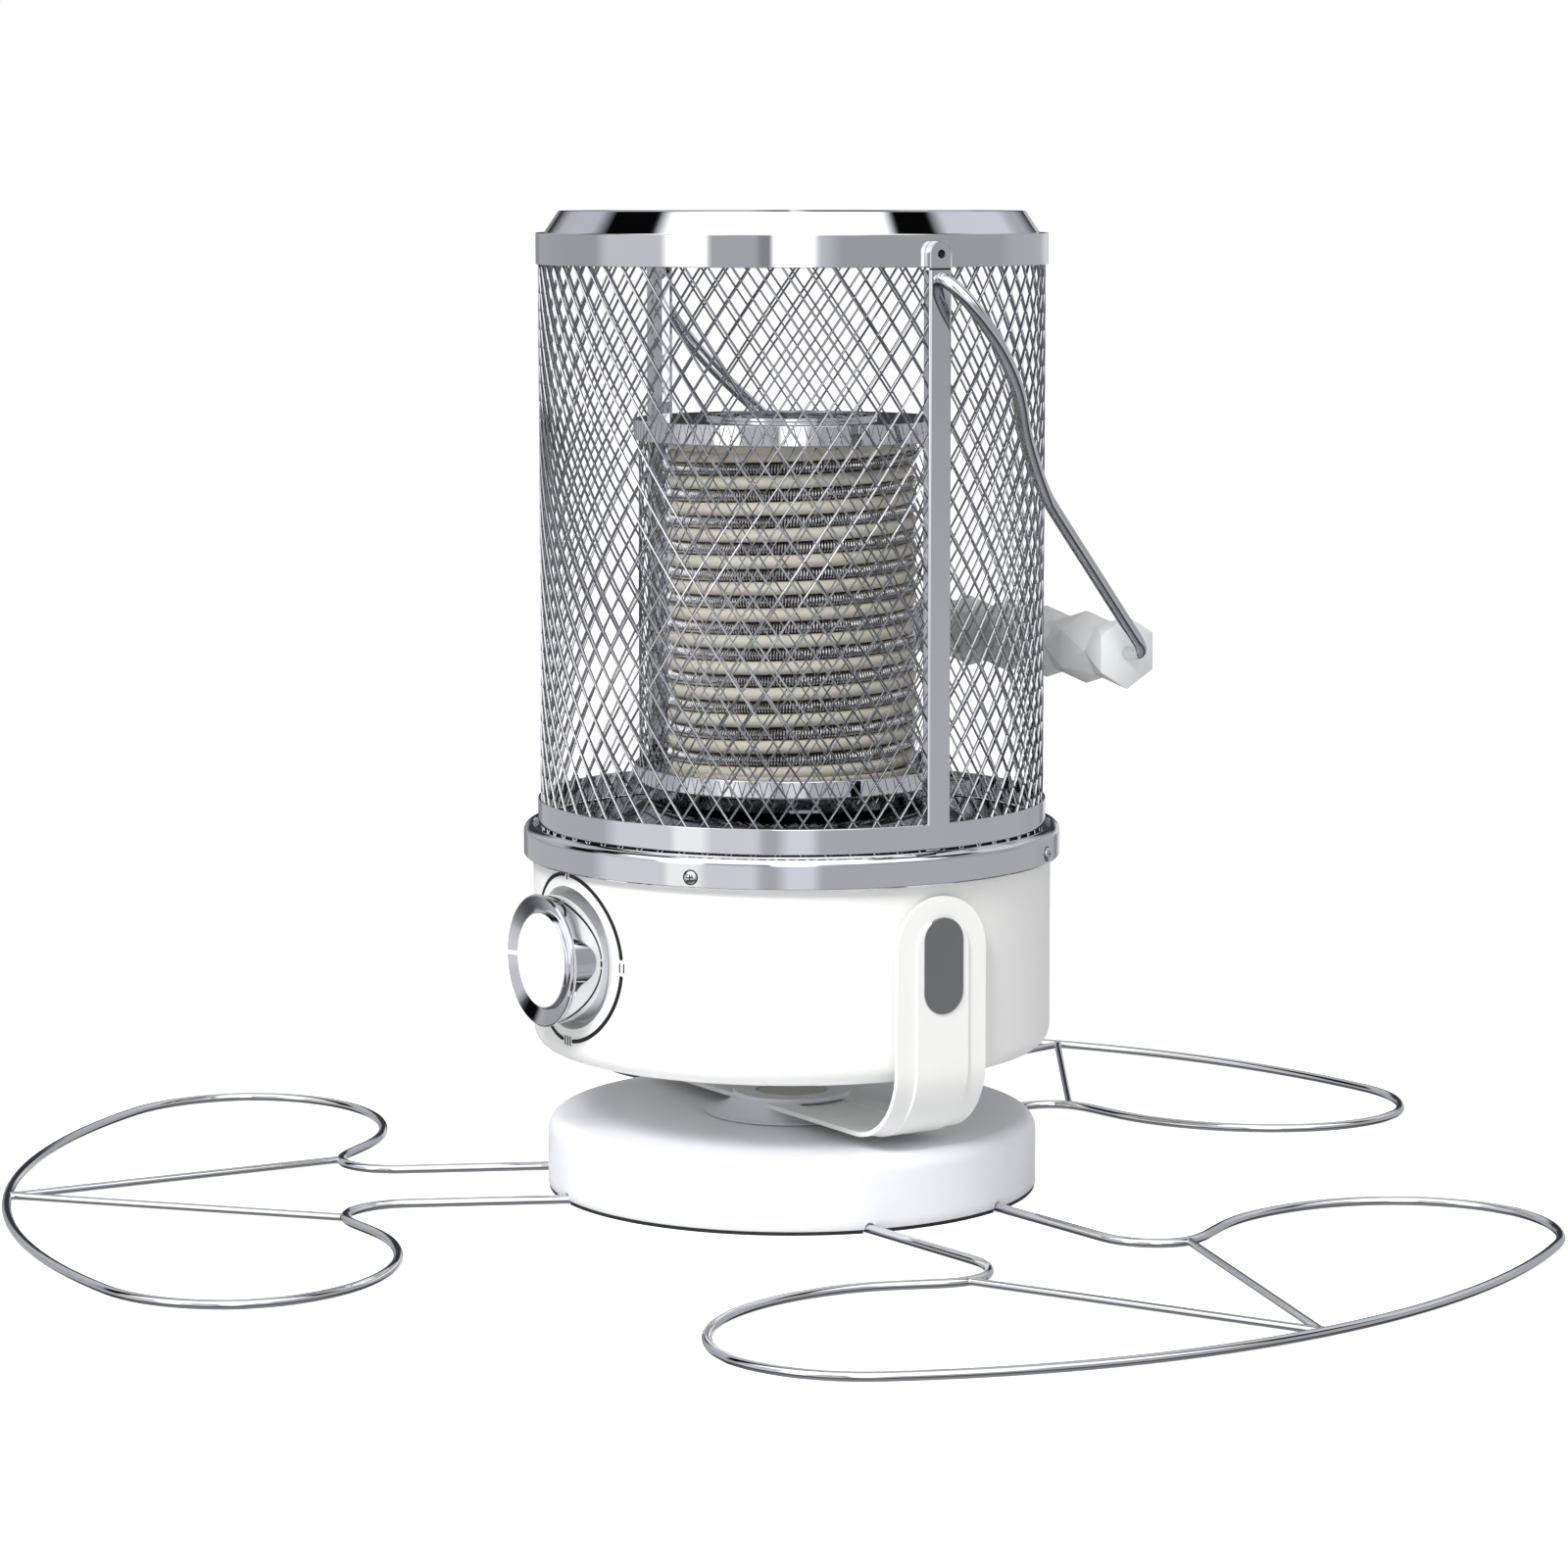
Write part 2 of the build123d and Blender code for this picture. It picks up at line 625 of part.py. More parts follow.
def build_hub():
    """Swivel: tube fixed in the base, flared skirt and clamp ring on the yoke, keeper, screw and cap."""
    strip_floor = yoke_strip_underside + yoke_sheet
    rim_low = yoke_strip_underside + yoke_step
    rim_top = strip_floor + yoke_step
    inner_top = base_top - base_wall
    skirt_low = base_top + pass_gap
    skirt_lip = skirt_low + skirt_edge
    flare_shares = (0.3, 0.42)
    flare_middle = (skirt_top_radius + (skirt_radius - skirt_top_radius) * flare_shares[0], 0,
                    skirt_low + (rim_top - skirt_low) * flare_shares[1])
    bore = pivot_radius + run_gap
    skirt_outline = [
        Line((bore, 0, skirt_low), (skirt_radius, 0, skirt_low)),
        Line((skirt_radius, 0, skirt_low), (skirt_radius, 0, skirt_lip)),
        ThreePointArc((skirt_radius, 0, skirt_lip), flare_middle, (skirt_top_radius, 0, rim_top)),
        Line((skirt_top_radius, 0, rim_top), (bore, 0, rim_top)),
        Line((bore, 0, rim_top), (bore, 0, skirt_low)),
    ]
    skirt = revolve(make_face(skirt_outline), Axis.Z, 360)
    strip_half = yoke_width / 2 + seat_gap
    panel_half = yoke_panel_width / 2 + seat_gap
    skirt -= block(-skirt_radius, skirt_radius, -strip_half, strip_half, rim_low, rim_top + overrun)
    skirt -= block(-skirt_radius, skirt_radius, -panel_half, panel_half, yoke_strip_underside, rim_low + overrun)
    skirt -= tube_z(slip_washer_outer + seat_gap, 0, skirt_low - overrun, skirt_low)
    disc_top = rim_top + hub_disc_thickness
    disc = tube_z(hub_disc_radius, hub_opening_radius, rim_top, disc_top)
    disc = fillet(disc.edges().group_by(Axis.Z)[-1], hub_disc_thickness / 4)
    tube_top = strip_floor + 2 * seat_gap
    keeper_top = tube_top + keeper_thickness
    tube = tube_z(pivot_flange_radius, 0, inner_top - pivot_flange_thickness, inner_top)
    tube += tube_z(pivot_radius, 0, inner_top, tube_top)
    screw_low = keeper_top - pivot_screw_length
    head_low = keeper_top - pivot_screw_head_height
    head_outline = [(0, head_low), (pivot_screw_radius, head_low), (pivot_screw_head_radius, keeper_top),
                    (0, keeper_top)]
    room_outline = [(0, head_low), (pivot_screw_radius + run_gap, head_low),
                    (pivot_screw_head_radius + run_gap, keeper_top), (0, keeper_top)]
    screw_room = spun(room_outline)
    screw_room += tube_z(pivot_screw_radius + run_gap, 0, screw_low - overrun, head_low)
    keeper = tube_z(keeper_radius, 0, tube_top, keeper_top)
    parts["hub_skirt"] = skirt
    parts["hub_disc"] = disc
    parts["pivot_tube"] = tube - screw_room
    washer_top = base_top + slip_washer_thickness
    parts["slip_washer"] = tube_z(slip_washer_outer, slip_washer_inner, base_top, washer_top)
    parts["keeper"] = keeper - screw_room
    parts["pivot_screw"] = spun(head_outline) + tube_z(pivot_screw_radius, 0, screw_low, head_low)
    parts["hub_cap"] = tube_z(keeper_radius, 0, keeper_top, keeper_top + hub_cap_thickness)


def build_housing():
    """Switch housing, bright rim and its screws, and what is fixed inside."""
    wall_inner = housing_radius - housing_wall
    ledge_low = rim_ledge - rim_ledge_thickness
    wall_top = ledge_low - seat_gap
    shell = tube_z(housing_radius, 0, housing_bottom, wall_top)
    shell = fillet(shell.edges().group_by(Axis.Z)[0], housing_edge_radius)
    hollow = tube_z(wall_inner, 0, housing_bottom + housing_wall, wall_top + overrun)
    hollow = fillet(hollow.edges().group_by(Axis.Z)[0], housing_edge_radius - housing_wall)
    shell -= hollow
    shell -= rod_x(tilt_pin_radius + run_gap, -housing_radius - overrun, housing_radius + overrun, tilt_height)
    shell -= rod_y(dish_radius, -housing_radius - overrun, 0, dial_height)
    shell -= rod_y(gland_radius + seat_gap, 0, housing_radius + overrun, gland_height)
    rim_inner = housing_radius + seat_gap
    rim = spun([(rim_inner, rim_bottom), (rim_radius, rim_bottom), (rim_radius, rim_crest),
                (rim_crest_inner + rim_lip_width, rim_crest), (rim_crest_inner, rim_ledge),
                (rim_ledge_inner, rim_ledge), (rim_ledge_inner, ledge_low), (rim_inner, ledge_low)])
    top_edges = rim.edges().group_by(Axis.Z)[-1].sort_by(SortBy.LENGTH)
    rim = fillet(top_edges[-1], rim_top_radius)
    bottom_edges = rim.edges().group_by(Axis.Z)[0].sort_by(SortBy.LENGTH)
    rim = fillet(bottom_edges[-1], rim_bottom_radius)
    screws = []
    head_top = rim_radius + rim_screw_head_height
    for index in range(rim_screw_count):
        turn = Rot(0, 0, rim_screw_turn + 360 / rim_screw_count * index)
        hole = rod_x(rim_screw_radius + run_gap, wall_inner - overrun, rim_radius + overrun, rim_screw_height)
        shell -= turn * hole
        rim -= turn * hole
        screw = rod_x(rim_screw_head_radius, rim_radius, head_top, rim_screw_height)
        screw = fillet(screw.edges().group_by(Axis.X)[-1], rim_screw_head_height * 0.6)
        screw += rod_x(rim_screw_radius, rim_radius - rim_screw_length, rim_radius, rim_screw_height)
        slot_reach = rim_screw_head_radius * 0.6
        for wide, tall in ((rim_screw_slot / 2, slot_reach), (slot_reach, rim_screw_slot / 2)):
            screw -= block(head_top - rim_screw_slot, head_top + overrun, -wide, wide,
                           rim_screw_height - tall, rim_screw_height + tall)
        screws.append(turn * screw)
    shield = tube_z(wall_inner - pass_gap, 0, shield_height, shield_height + shield_sheet)
    shield += tube_z(wall_inner - pass_gap, wall_inner - pass_gap - shield_sheet, shield_height, wall_top)
    floor = housing_bottom + housing_wall
    terminals = block(-block_length / 2, block_length / 2, block_place - block_width / 2,
                      block_place + block_width / 2, floor, floor + block_height)
    cutout = Pos(cutout_place, 0, 0) * tube_z(cutout_radius, 0, shield_height - cutout_height, shield_height)
    flange_face = housing_radius + seat_gap
    gland = rod_y(gland_radius, housing_radius - gland_depth, flange_face + gland_depth, gland_height)
    gland += rod_y(gland_flange_radius, flange_face, flange_face + gland_flange, gland_height)
    gland -= rod_y(gland_bore, housing_radius - gland_depth - overrun, flange_face + gland_depth + overrun,
                   gland_height)
    parts["housing_shell"] = shell
    parts["chrome_rim"] = rim
    parts["rim_screws"] = Compound(screws)
    parts["heat_shield"] = shield
    parts["terminal_block"] = terminals
    parts["thermal_cutout"] = cutout
    parts["cord_gland"] = gland


def build_dial():
    """Dished well in the housing, printed marks, rotary switch and its knob."""
    dish_back = dish_floor - dish_floor_thickness
    dish_edge = dish_radius - seat_gap
    front = housing_radius + overrun
    dish = along_y([(0, dish_back), (dish_edge, dish_back), (dish_edge, front), (dish_edge - dish_lip, front),
                    (dish_floor_radius, dish_floor), (0, dish_floor)])
    dish -= rod_y(bushing_radius + run_gap, -dish_floor - overrun, -dish_back + overrun, dial_height)
    dish &= tube_z(housing_radius, 0, dial_height - dish_radius - overrun, dial_height + dish_radius + overrun)
    switch_back = dish_back - switch_depth
    bushing_front = dish_back + bushing_reach
    half = switch_width / 2
    switch = block(-half, half, -dish_back, -switch_back, dial_height - half, dial_height + half)
    switch += rod_y(bushing_radius, -bushing_front, -dish_back, dial_height)
    shaft_end = bushing_front - bushing_reach - switch_depth * 0.9
    shaft_front = shaft_end + shaft_length
    bore = shaft_radius + run_gap
    switch -= rod_y(bore, -bushing_front - overrun, -shaft_end + run_gap, dial_height)
    nut = rod_y(switch_nut_radius, -dish_floor - switch_nut_thickness, -dish_floor, dial_height)
    nut -= rod_y(bushing_radius + run_gap, -dish_floor - switch_nut_thickness - overrun, -dish_floor + overrun,
                 dial_height)
    face_floor = knob_front - knob_face_recess - knob_face_thickness
    lip_step = knob_lip_radius - knob_radius
    inside = knob_lip_back - knob_wall
    knob = along_y([
        (knob_radius - knob_wall, knob_back), (knob_radius, knob_back), (knob_radius, knob_lip_back),
        (knob_lip_radius, knob_lip_back + lip_step), (knob_lip_radius, knob_front - knob_cone_drop),
        (knob_face_radius + knob_wall / 2, knob_front), (knob_face_radius, knob_front - knob_face_recess),
        (knob_face_radius, face_floor), (0, face_floor), (0, inside), (knob_radius - knob_wall, inside)])
    hub_back = dish_floor + switch_nut_thickness + knob_wall
    knob += rod_y(knob_hub_radius, -knob_lip_back, -hub_back, dial_height)
    knob -= rod_y(bore, -shaft_front - run_gap, -hub_back + overrun, dial_height)
    face = rod_y(knob_face_radius - seat_gap, -knob_front + knob_face_recess, -face_floor, dial_height)
    half_pointer = knob_pointer_width / 2
    pointer_end = knob_face_radius + knob_pointer_length
    pointer_floor = -knob_front + knob_pointer_depth
    groove = block(-pointer_end, half_pointer - knob_face_radius, -knob_front - overrun, pointer_floor,
                   dial_height - half_pointer, dial_height + half_pointer)
    pointer = knob & block(-pointer_end + seat_gap, -knob_face_radius - seat_gap, -knob_front, pointer_floor,
                           dial_height - half_pointer + seat_gap, dial_height + half_pointer - seat_gap)
    parts["dial_dish"] = dish
    parts["rotary_switch"] = switch
    parts["switch_nut"] = nut
    parts["switch_shaft"] = rod_y(shaft_radius, -shaft_front, -shaft_end, dial_height)
    parts["knob_body"] = knob - groove
    parts["knob_face"] = face
    parts["knob_pointer"] = pointer
    parts["dial_marks"] = dial_marks()


def dial_bars(count, turn):
    """Upright bars that number one setting, as long prisms along Y."""
    x, z = polar(dial_mark_radius, turn)
    bars = []
    for index in range(count):
        middle = x + dial_bar_pitch * (index - (count - 1) / 2)
        bars.append(block(middle - dial_bar_width / 2, middle + dial_bar_width / 2, -housing_radius - overrun, 0,
                          dial_height + z - dial_bar_length / 2, dial_height + z + dial_bar_length / 2))
    return bars


def dial_marks():
    """Printed ring round the dial, open where one, two and three bars stand."""
    outer = dial_mark_radius + dial_mark_line / 2
    inner = dial_mark_radius - dial_mark_line / 2
    reach = housing_radius + overrun
    ring = rod_y(outer, -reach, 0, dial_height) - rod_y(inner, -reach - overrun, overrun, dial_height)
    stops = ((90, dial_gap_top, 1), (0, dial_gap_right, 2), (-90, dial_gap_bottom, 3))
    marks = [ring]
    for turn, gap, count in stops:
        x, z = polar(dial_mark_radius, turn)
        room = dial_mark_radius * math.sin(math.radians(gap))
        marks[0] -= block(x - room, x + room, -reach - overrun, overrun, dial_height + z - room,
                          dial_height + z + room)
        marks += dial_bars(count, turn)
    band = tube_z(housing_radius + dial_mark_raise, housing_radius, dial_height - outer - overrun,
                  dial_height + outer + overrun)
    solids = []
    for mark in marks:
        solids += (mark & band).solids()
    return Compound([solid for solid in solids if solid.center().Y < 0])


def pierced_tube(outer, inner, low, high, edge, columns, rows, first_turn, sweep_turn, whole):
    """Sheet tube with staggered diamond gaps over part or all of its round."""
    tube = tube_z(outer, inner, low, high)
    half_height = (high - low - 2 * edge) / (rows + 1)
    pitch = sweep_turn / columns
    half_width = math.radians(pitch) * (outer + inner) / 4
    lean = math.hypot(half_width, half_height) / (half_width * half_height)
    open_share = 1 - mesh_strand / 2 * lean
    gaps = []
    for row in range(rows):
        shift = 0.5 if row % 2 == 0 else 1
        count = columns if row % 2 == 0 or whole else columns - 1
        height = low + edge + half_height * (row + 1)
        for column in range(count):
            turn = first_turn + pitch * (column + shift)
            out = Vector(*polar(1, turn), 0)
            spot = out * (inner - overrun) + Vector(0, 0, height)
            place = Plane(spot, x_dir=out.cross(Vector(0, 0, 1)), z_dir=out)
            across = half_width * open_share
            up = half_height * open_share
            outline = Polyline([(across, 0), (0, up), (-across, 0), (0, -up)], close=True)
            gaps.append(extrude(place * make_face(outline), outer - inner + 2 * overrun))
    return tube - gaps


def build_cage():
    """Two bright rings, lid, two mesh panels and the two posts that cover their seams."""
    ring_inner = ring_radius - ring_sheet
    parts["lower_ring"] = tube_z(ring_radius, ring_inner, lower_ring_bottom, lower_ring_top)
    upper = tube_z(ring_radius, ring_inner, upper_ring_bottom, upper_ring_top)
    upper += tube_z(ring_radius, ring_radius - ring_lip, upper_ring_top - ring_sheet, upper_ring_top)
    mesh_outer = mesh_radius + mesh_wire / 2
    mesh_inner = mesh_radius - mesh_wire / 2
    seam = math.degrees(math.asin((mesh_seam_half + mesh_strand) / mesh_radius))
    seam_cut = block(-ring_radius, ring_radius, -mesh_seam_half, mesh_seam_half, rim_ledge, mesh_top)
    for name, turn in (("guard_mesh_back", 0), ("guard_mesh_front", 180)):
        panel = pierced_tube(mesh_outer, mesh_inner, rim_ledge, mesh_top, mesh_edge, mesh_columns, mesh_rows,
                             turn + seam, 180 - 2 * seam, False)
        panel -= seam_cut
        keep = block(-ring_radius, ring_radius, 0, ring_radius, 0, lid_top)
        parts[name] = panel & (Rot(0, 0, turn) * keep)
    flange_top = upper_ring_top - ring_sheet - seat_gap
    flange_low = flange_top - lid_flange
    lid_neck = ring_radius - ring_lip - seat_gap
    top_inner = lid_top_radius - lid_sheet / 2
    panel_top = lid_top - lid_panel_sink
    panel_under = panel_top - lid_sheet
    parts["lid"] = spun([
        (mesh_outer, flange_low), (mesh_outer, flange_top), (lid_neck, flange_top), (lid_neck, upper_ring_top),
        (lid_top_radius, lid_top), (lid_panel_radius, lid_top), (lid_panel_radius - lid_panel_sink, panel_top),
        (0, panel_top), (0, panel_under), (lid_panel_radius, panel_under),
        (lid_panel_radius + lid_sheet, lid_top - lid_sheet), (top_inner, lid_top - lid_sheet),
        (lid_neck - lid_sheet, flange_top), (lid_neck - lid_sheet, flange_low)])
    rivets = []
    for name, turn in (("post_right", 0), ("post_left", 180)):
        parts[name] = Rot(0, 0, turn) * post()
        rivet_face = post_face - rivet_recess
        rivet = rod_x(rivet_radius, ring_inner - seat_gap, rivet_face, rivet_height)
        head_face = ring_inner - seat_gap
        rivet += rod_x(rivet_head_radius, head_face - rivet_recess, head_face, rivet_height)
        rivets.append(Rot(0, 0, turn) * rivet)
        upper -= Rot(0, 0, turn) * rod_x(rivet_radius + run_gap, 0, ring_radius + overrun, rivet_height)
    parts["upper_ring"] = upper
    parts["post_rivets"] = Compound(rivets)


def post():
    """One upright: a channel over the mesh seam, a tongue behind the lower ring and a lug on the upper one."""
    bottom = lower_ring_top + seat_gap
    half = post_width / 2
    channel = block(post_back, post_face, -half, half, bottom, post_top)
    outer_edges = channel.edges().filter_by(Axis.Z).sort_by(Axis.X)[-2:]
    channel = fillet(outer_edges, post_corner)
    inside = half - post_sheet
    channel -= block(post_back - overrun, post_face - post_sheet, -inside, inside, bottom - overrun,
                     post_top + overrun)
    tongue_outer = ring_radius - ring_sheet - seat_gap
    tongue_low = rim_ledge + seat_gap
    tongue_high = bottom + post_width
    upright = block(tongue_outer - tongue_depth, tongue_outer, -tongue_half, tongue_half, tongue_low, tongue_high)
    upright += block(tongue_outer - tongue_depth, post_face - post_sheet, -tongue_half, tongue_half, bottom,
                     tongue_high)
    lug_low = post_top + lug_gap
    lug_centre = lug_top - half
    lug = block(lug_back, post_face, -half, half, lug_low, lug_centre)
    lug += rod_x(half, lug_back, post_face, lug_centre)
    lug -= rod_x(rivet_radius + run_gap, 0, post_face + overrun, rivet_height)
    web = block(post_face - post_sheet, post_face - rivet_recess, -tongue_half, tongue_half,
                post_top - post_sheet, lug_low)
    solid = channel + upright + lug + web
    return solid - rod_x(bail_wire / 2 + seat_gap, post_back - overrun, post_face + overrun, bail_pivot_height)


def helix_place(radius, first_height, turns):
    """Point of a helix, and its direction there."""
    angle = helix_turn + 360 * turns
    x, y = polar(radius, angle)
    way_x, way_y = polar(2 * math.pi * radius, angle + 90)
    return Vector(x, y, first_height + rib_pitch * turns), Vector(way_x, way_y, rib_pitch).normalized()


def helix_edges(radius, first_height, start, count, share):
    """Run of tangent arcs along a helix, two for each step; share is a step's part of a turn."""
    edges = []
    for index in range(count):
        low, low_way = helix_place(radius, first_height, start + share * index)
        high, high_way = helix_place(radius, first_height, start + share * (index + 1))
        span = high - low
        ways = low_way + high_way
        spread = 2 * (1 - low_way.dot(high_way))
        reach = (math.sqrt(span.dot(ways) ** 2 + spread * span.dot(span)) - span.dot(ways)) / spread
        middle = (low + low_way * reach + high - high_way * reach) * 0.5
        edges.append(TangentArc(low, middle, tangent=low_way))
        edges.append(TangentArc(middle, high, tangent=edges[-1] % 1))
    return edges


def least_winding_gap():
    """Least gap between the coil's own turns, measured on points along them."""
    steps = 72
    points = [helix_place(coil_path_radius, 0, step / steps)[0] for step in range(3 * steps)]
    nearest = min((points[0] - other).length for other in points[steps // 2:])
    return nearest - 2 * coil_radius


def build_core():
    """Ceramic core with its coil, the bright band and cap, inner mesh, reflector and tie rod."""
    ceramic_low = core_plate_bottom + core_plate_thickness
    ceramic_high = top_cap_top - top_cap_sheet
    ceramic = tube_z(ceramic_root_radius, 0, ceramic_low, ceramic_high)
    rib_path = Wire(helix_edges(rib_path_radius, rib_first_height, 0, 2 * rib_turns, 1 / 2))
    rib = wire_along(rib_path, rib_radius)
    ceramic += rib
    ceramic += tube_z(collar_radius, 0, ceramic_low, ceramic_low + collar_height)
    ceramic += tube_z(collar_radius, 0, top_cap_bottom - collar_height, ceramic_high)
    ceramic &= tube_z(collar_radius, 0, ceramic_low, ceramic_high)
    ceramic -= tube_z(ceramic_bore_radius, 0, ceramic_low - overrun, ceramic_high + overrun)
    parts["ceramic_core"] = ceramic
    groove_height = rib_first_height + rib_pitch / 2
    first_turn = 1 / 4
    last_turn = first_turn + coil_half_turns / 2
    edges = helix_edges(coil_path_radius, groove_height, first_turn, coil_half_turns, 1 / 2)
    low, low_way = helix_place(coil_path_radius, groove_height, first_turn)
    high, high_way = helix_place(coil_path_radius, groove_height, last_turn)
    straight = 2 * coil_radius
    path = Wire([Line(low - low_way * straight, low)] + edges + [Line(high, high + high_way * straight)])
    parts["heating_coil"] = wire_along(path, coil_radius)
    print("least gap of the coil to itself", round(least_winding_gap(), 2))
    clamps = []
    for point, way, side in ((low, low_way, -1), (high, high_way, 1)):
        centre = point + way * side * (straight + seat_gap + clamp_length / 2)
        flat_way = Vector(way.X, way.Y, 0)
        clamp = Plane(centre, x_dir=flat_way, z_dir=(0, 0, 1)) * Box(clamp_length, 2 * coil_radius, clamp_height)
        clamps.append(clamp)
    parts["coil_clamps"] = Compound(clamps)
    band_inner = core_band_radius - core_band_sheet
    parts["core_band"] = tube_z(core_band_radius, band_inner, core_band_bottom, core_band_top)
    mesh_outer = inner_mesh_radius + inner_mesh_wire / 2
    mesh_inner = inner_mesh_radius - inner_mesh_wire / 2
    rod_hole = tie_rod_radius + run_gap
    parts["inner_mesh"] = pierced_tube(mesh_outer, mesh_inner, inner_mesh_bottom, inner_mesh_top,
                                       inner_mesh_wire, inner_mesh_columns, inner_mesh_rows, 0, 360, True)
    parts["core_plate"] = tube_z(mesh_inner - seat_gap, rod_hole, core_plate_bottom, ceramic_low)
    well_floor = top_cap_top - top_cap_well_depth
    skirt_inner = core_band_radius - top_cap_sheet
    crown_top = top_cap_top + top_cap_ring_height
    crown_inner = top_cap_ring_radius - top_cap_sheet
    well_outer = top_cap_well_radius + top_cap_sheet
    parts["top_cap"] = spun([
        (skirt_inner, top_cap_bottom), (core_band_radius, top_cap_bottom), (core_band_radius, top_cap_top),
        (top_cap_ring_radius, top_cap_top), (top_cap_ring_radius, crown_top), (top_cap_well_radius, crown_top),
        (top_cap_well_radius, well_floor), (rod_hole, well_floor), (rod_hole, well_floor - top_cap_sheet),
        (well_outer, well_floor - top_cap_sheet), (well_outer, crown_top - top_cap_sheet),
        (crown_inner, crown_top - top_cap_sheet), (crown_inner, ceramic_high), (skirt_inner, ceramic_high)])
    parts["reflector"] = spun([
        (reflector_radius, rim_ledge), (reflector_radius, reflector_floor), (reflector_foot_radius, reflector_floor),
        (reflector_top_radius, reflector_top), (rod_hole, reflector_top),
        (rod_hole, reflector_top - reflector_sheet),
        (reflector_top_radius - reflector_sheet / 2, reflector_top - reflector_sheet),
        (reflector_foot_radius - reflector_sheet / 2, reflector_floor - reflector_sheet),
        (reflector_radius - reflector_sheet, reflector_floor - reflector_sheet),
        (reflector_radius - reflector_sheet, rim_ledge)])
    standoffs = []
    for index in range(standoff_count):
        stand = block(standoff_circle - standoff_depth / 2, standoff_circle + standoff_depth / 2,
                      -standoff_width / 2, standoff_width / 2, reflector_top, core_plate_bottom)
        standoffs.append(Rot(0, 0, standoff_turn + 360 / standoff_count * index) * stand)
    parts["standoffs"] = Compound(standoffs)
    parts["tie_rod"] = tube_z(tie_rod_radius, 0, tie_rod_bottom, tie_rod_top)
    nuts = []
    nut_low = reflector_top - reflector_sheet - tie_nut_height
    for low_face in (nut_low, well_floor):
        nut = extrude(Plane((0, 0, low_face)) * RegularPolygon(tie_nut_radius, 6), tie_nut_height)
        nuts.append(nut - tube_z(rod_hole, 0, low_face - overrun, low_face + tie_nut_height + overrun))
    parts["tie_nuts"] = Compound(nuts)


def bail_place(x, reach):
    """Point of the bail at rest, from its place across and its distance from the pivots."""
    return (x, reach * bail_rest_sine, bail_pivot_height - reach * math.sqrt(1 - bail_rest_sine ** 2))


def build_bail():
    """Wire bail with a flat head in each post, and the faceted grip that turns on it."""
    head_outer = post_face - post_sheet - pass_gap
    half_outline = [(head_outer, 0), (bail_turn_out, 0), (bail_elbow_half, bail_reach * bail_elbow_share),
                    (bail_widest_half, bail_reach * bail_widest_share),
                    (bail_shoulder_half, bail_reach * bail_shoulder_share),
                    (bail_arm_half, bail_reach * bail_arm_share), (bail_arm_half, bail_reach)]
    outline = half_outline + [(-x, reach) for x, reach in reversed(half_outline)]
    bends = [bail_turn_bend, bail_elbow_bend, bail_widest_bend, bail_shoulder_bend, bail_arm_bend,
             bail_corner_bend]
    path = FilletPolyline(*[bail_place(x, reach) for x, reach in outline], radius=bends + bends[::-1])
    bail = wire_along(path, bail_wire / 2)
    for side in (1, -1):
        start, end = sorted((side * (head_outer - bail_head_thickness), side * head_outer))
        bail += rod_x(bail_head_radius, start, end, bail_pivot_height)
    parts["bail"] = bail
    parts["grip"] = Pos(*bail_place(0, bail_reach)) * grip_solid()


def grip_solid():
    """Faceted grip along X: rings of points, thick and thin by turns, joined by flat triangles."""
    rings = []
    for index in range(grip_segments + 1):
        thick = index % 2 == 0
        radius = grip_lump_radius if thick else grip_waist_radius
        x = -grip_half_length + 2 * grip_half_length / grip_segments * index
        twist = 90 if thick else 90 + 180 / grip_sides
        ring = []
        for corner in range(grip_sides):
            y, z = polar(radius, twist + 360 / grip_sides * corner)
            ring.append(Vector(x, y, z))
        rings.append(ring)
    faces = [Face(Wire.make_polygon(rings[0])), Face(Wire.make_polygon(rings[-1]))]
    for index in range(grip_segments):
        near, far = (rings[index], rings[index + 1]) if index % 2 == 0 else (rings[index + 1], rings[index])
        for corner in range(grip_sides):
            following = (corner + 1) % grip_sides
            faces.append(Face(Wire.make_polygon([near[corner], near[following], far[corner]])))
            faces.append(Face(Wire.make_polygon([far[corner], far[following], near[following]])))
    grip = Solid(Shell(faces))
    if grip.volume < 0:
        grip = grip.fix()
    bore = bail_wire / 2 + seat_gap
    return Part(grip.wrapped) - rod_x(bore, -grip_half_length - overrun, grip_half_length + overrun, 0)


build_base()
build_feet()
build_yoke()
build_hub()
build_housing()
build_dial()
build_cage()
build_core()
build_bail()
os.makedirs("parts", exist_ok=True)
for name, shape in parts.items():
    export_step(shape, "parts/" + name + ".step")
print(len(parts), "pieces written")
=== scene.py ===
"""Looks of a table-size electric patio heater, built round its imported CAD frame.

Lengths in the classes are millimetres in the frame's own axes, and MM turns them to Blender's metres.
The floor is z 0, the heater's axis is Z, the dial faces -Y and the yoke arms stand on X.
"""

from dataclasses import dataclass, field
from enum import Enum
import logging
import math

import bmesh
import bpy
from mathutils import Matrix, Vector

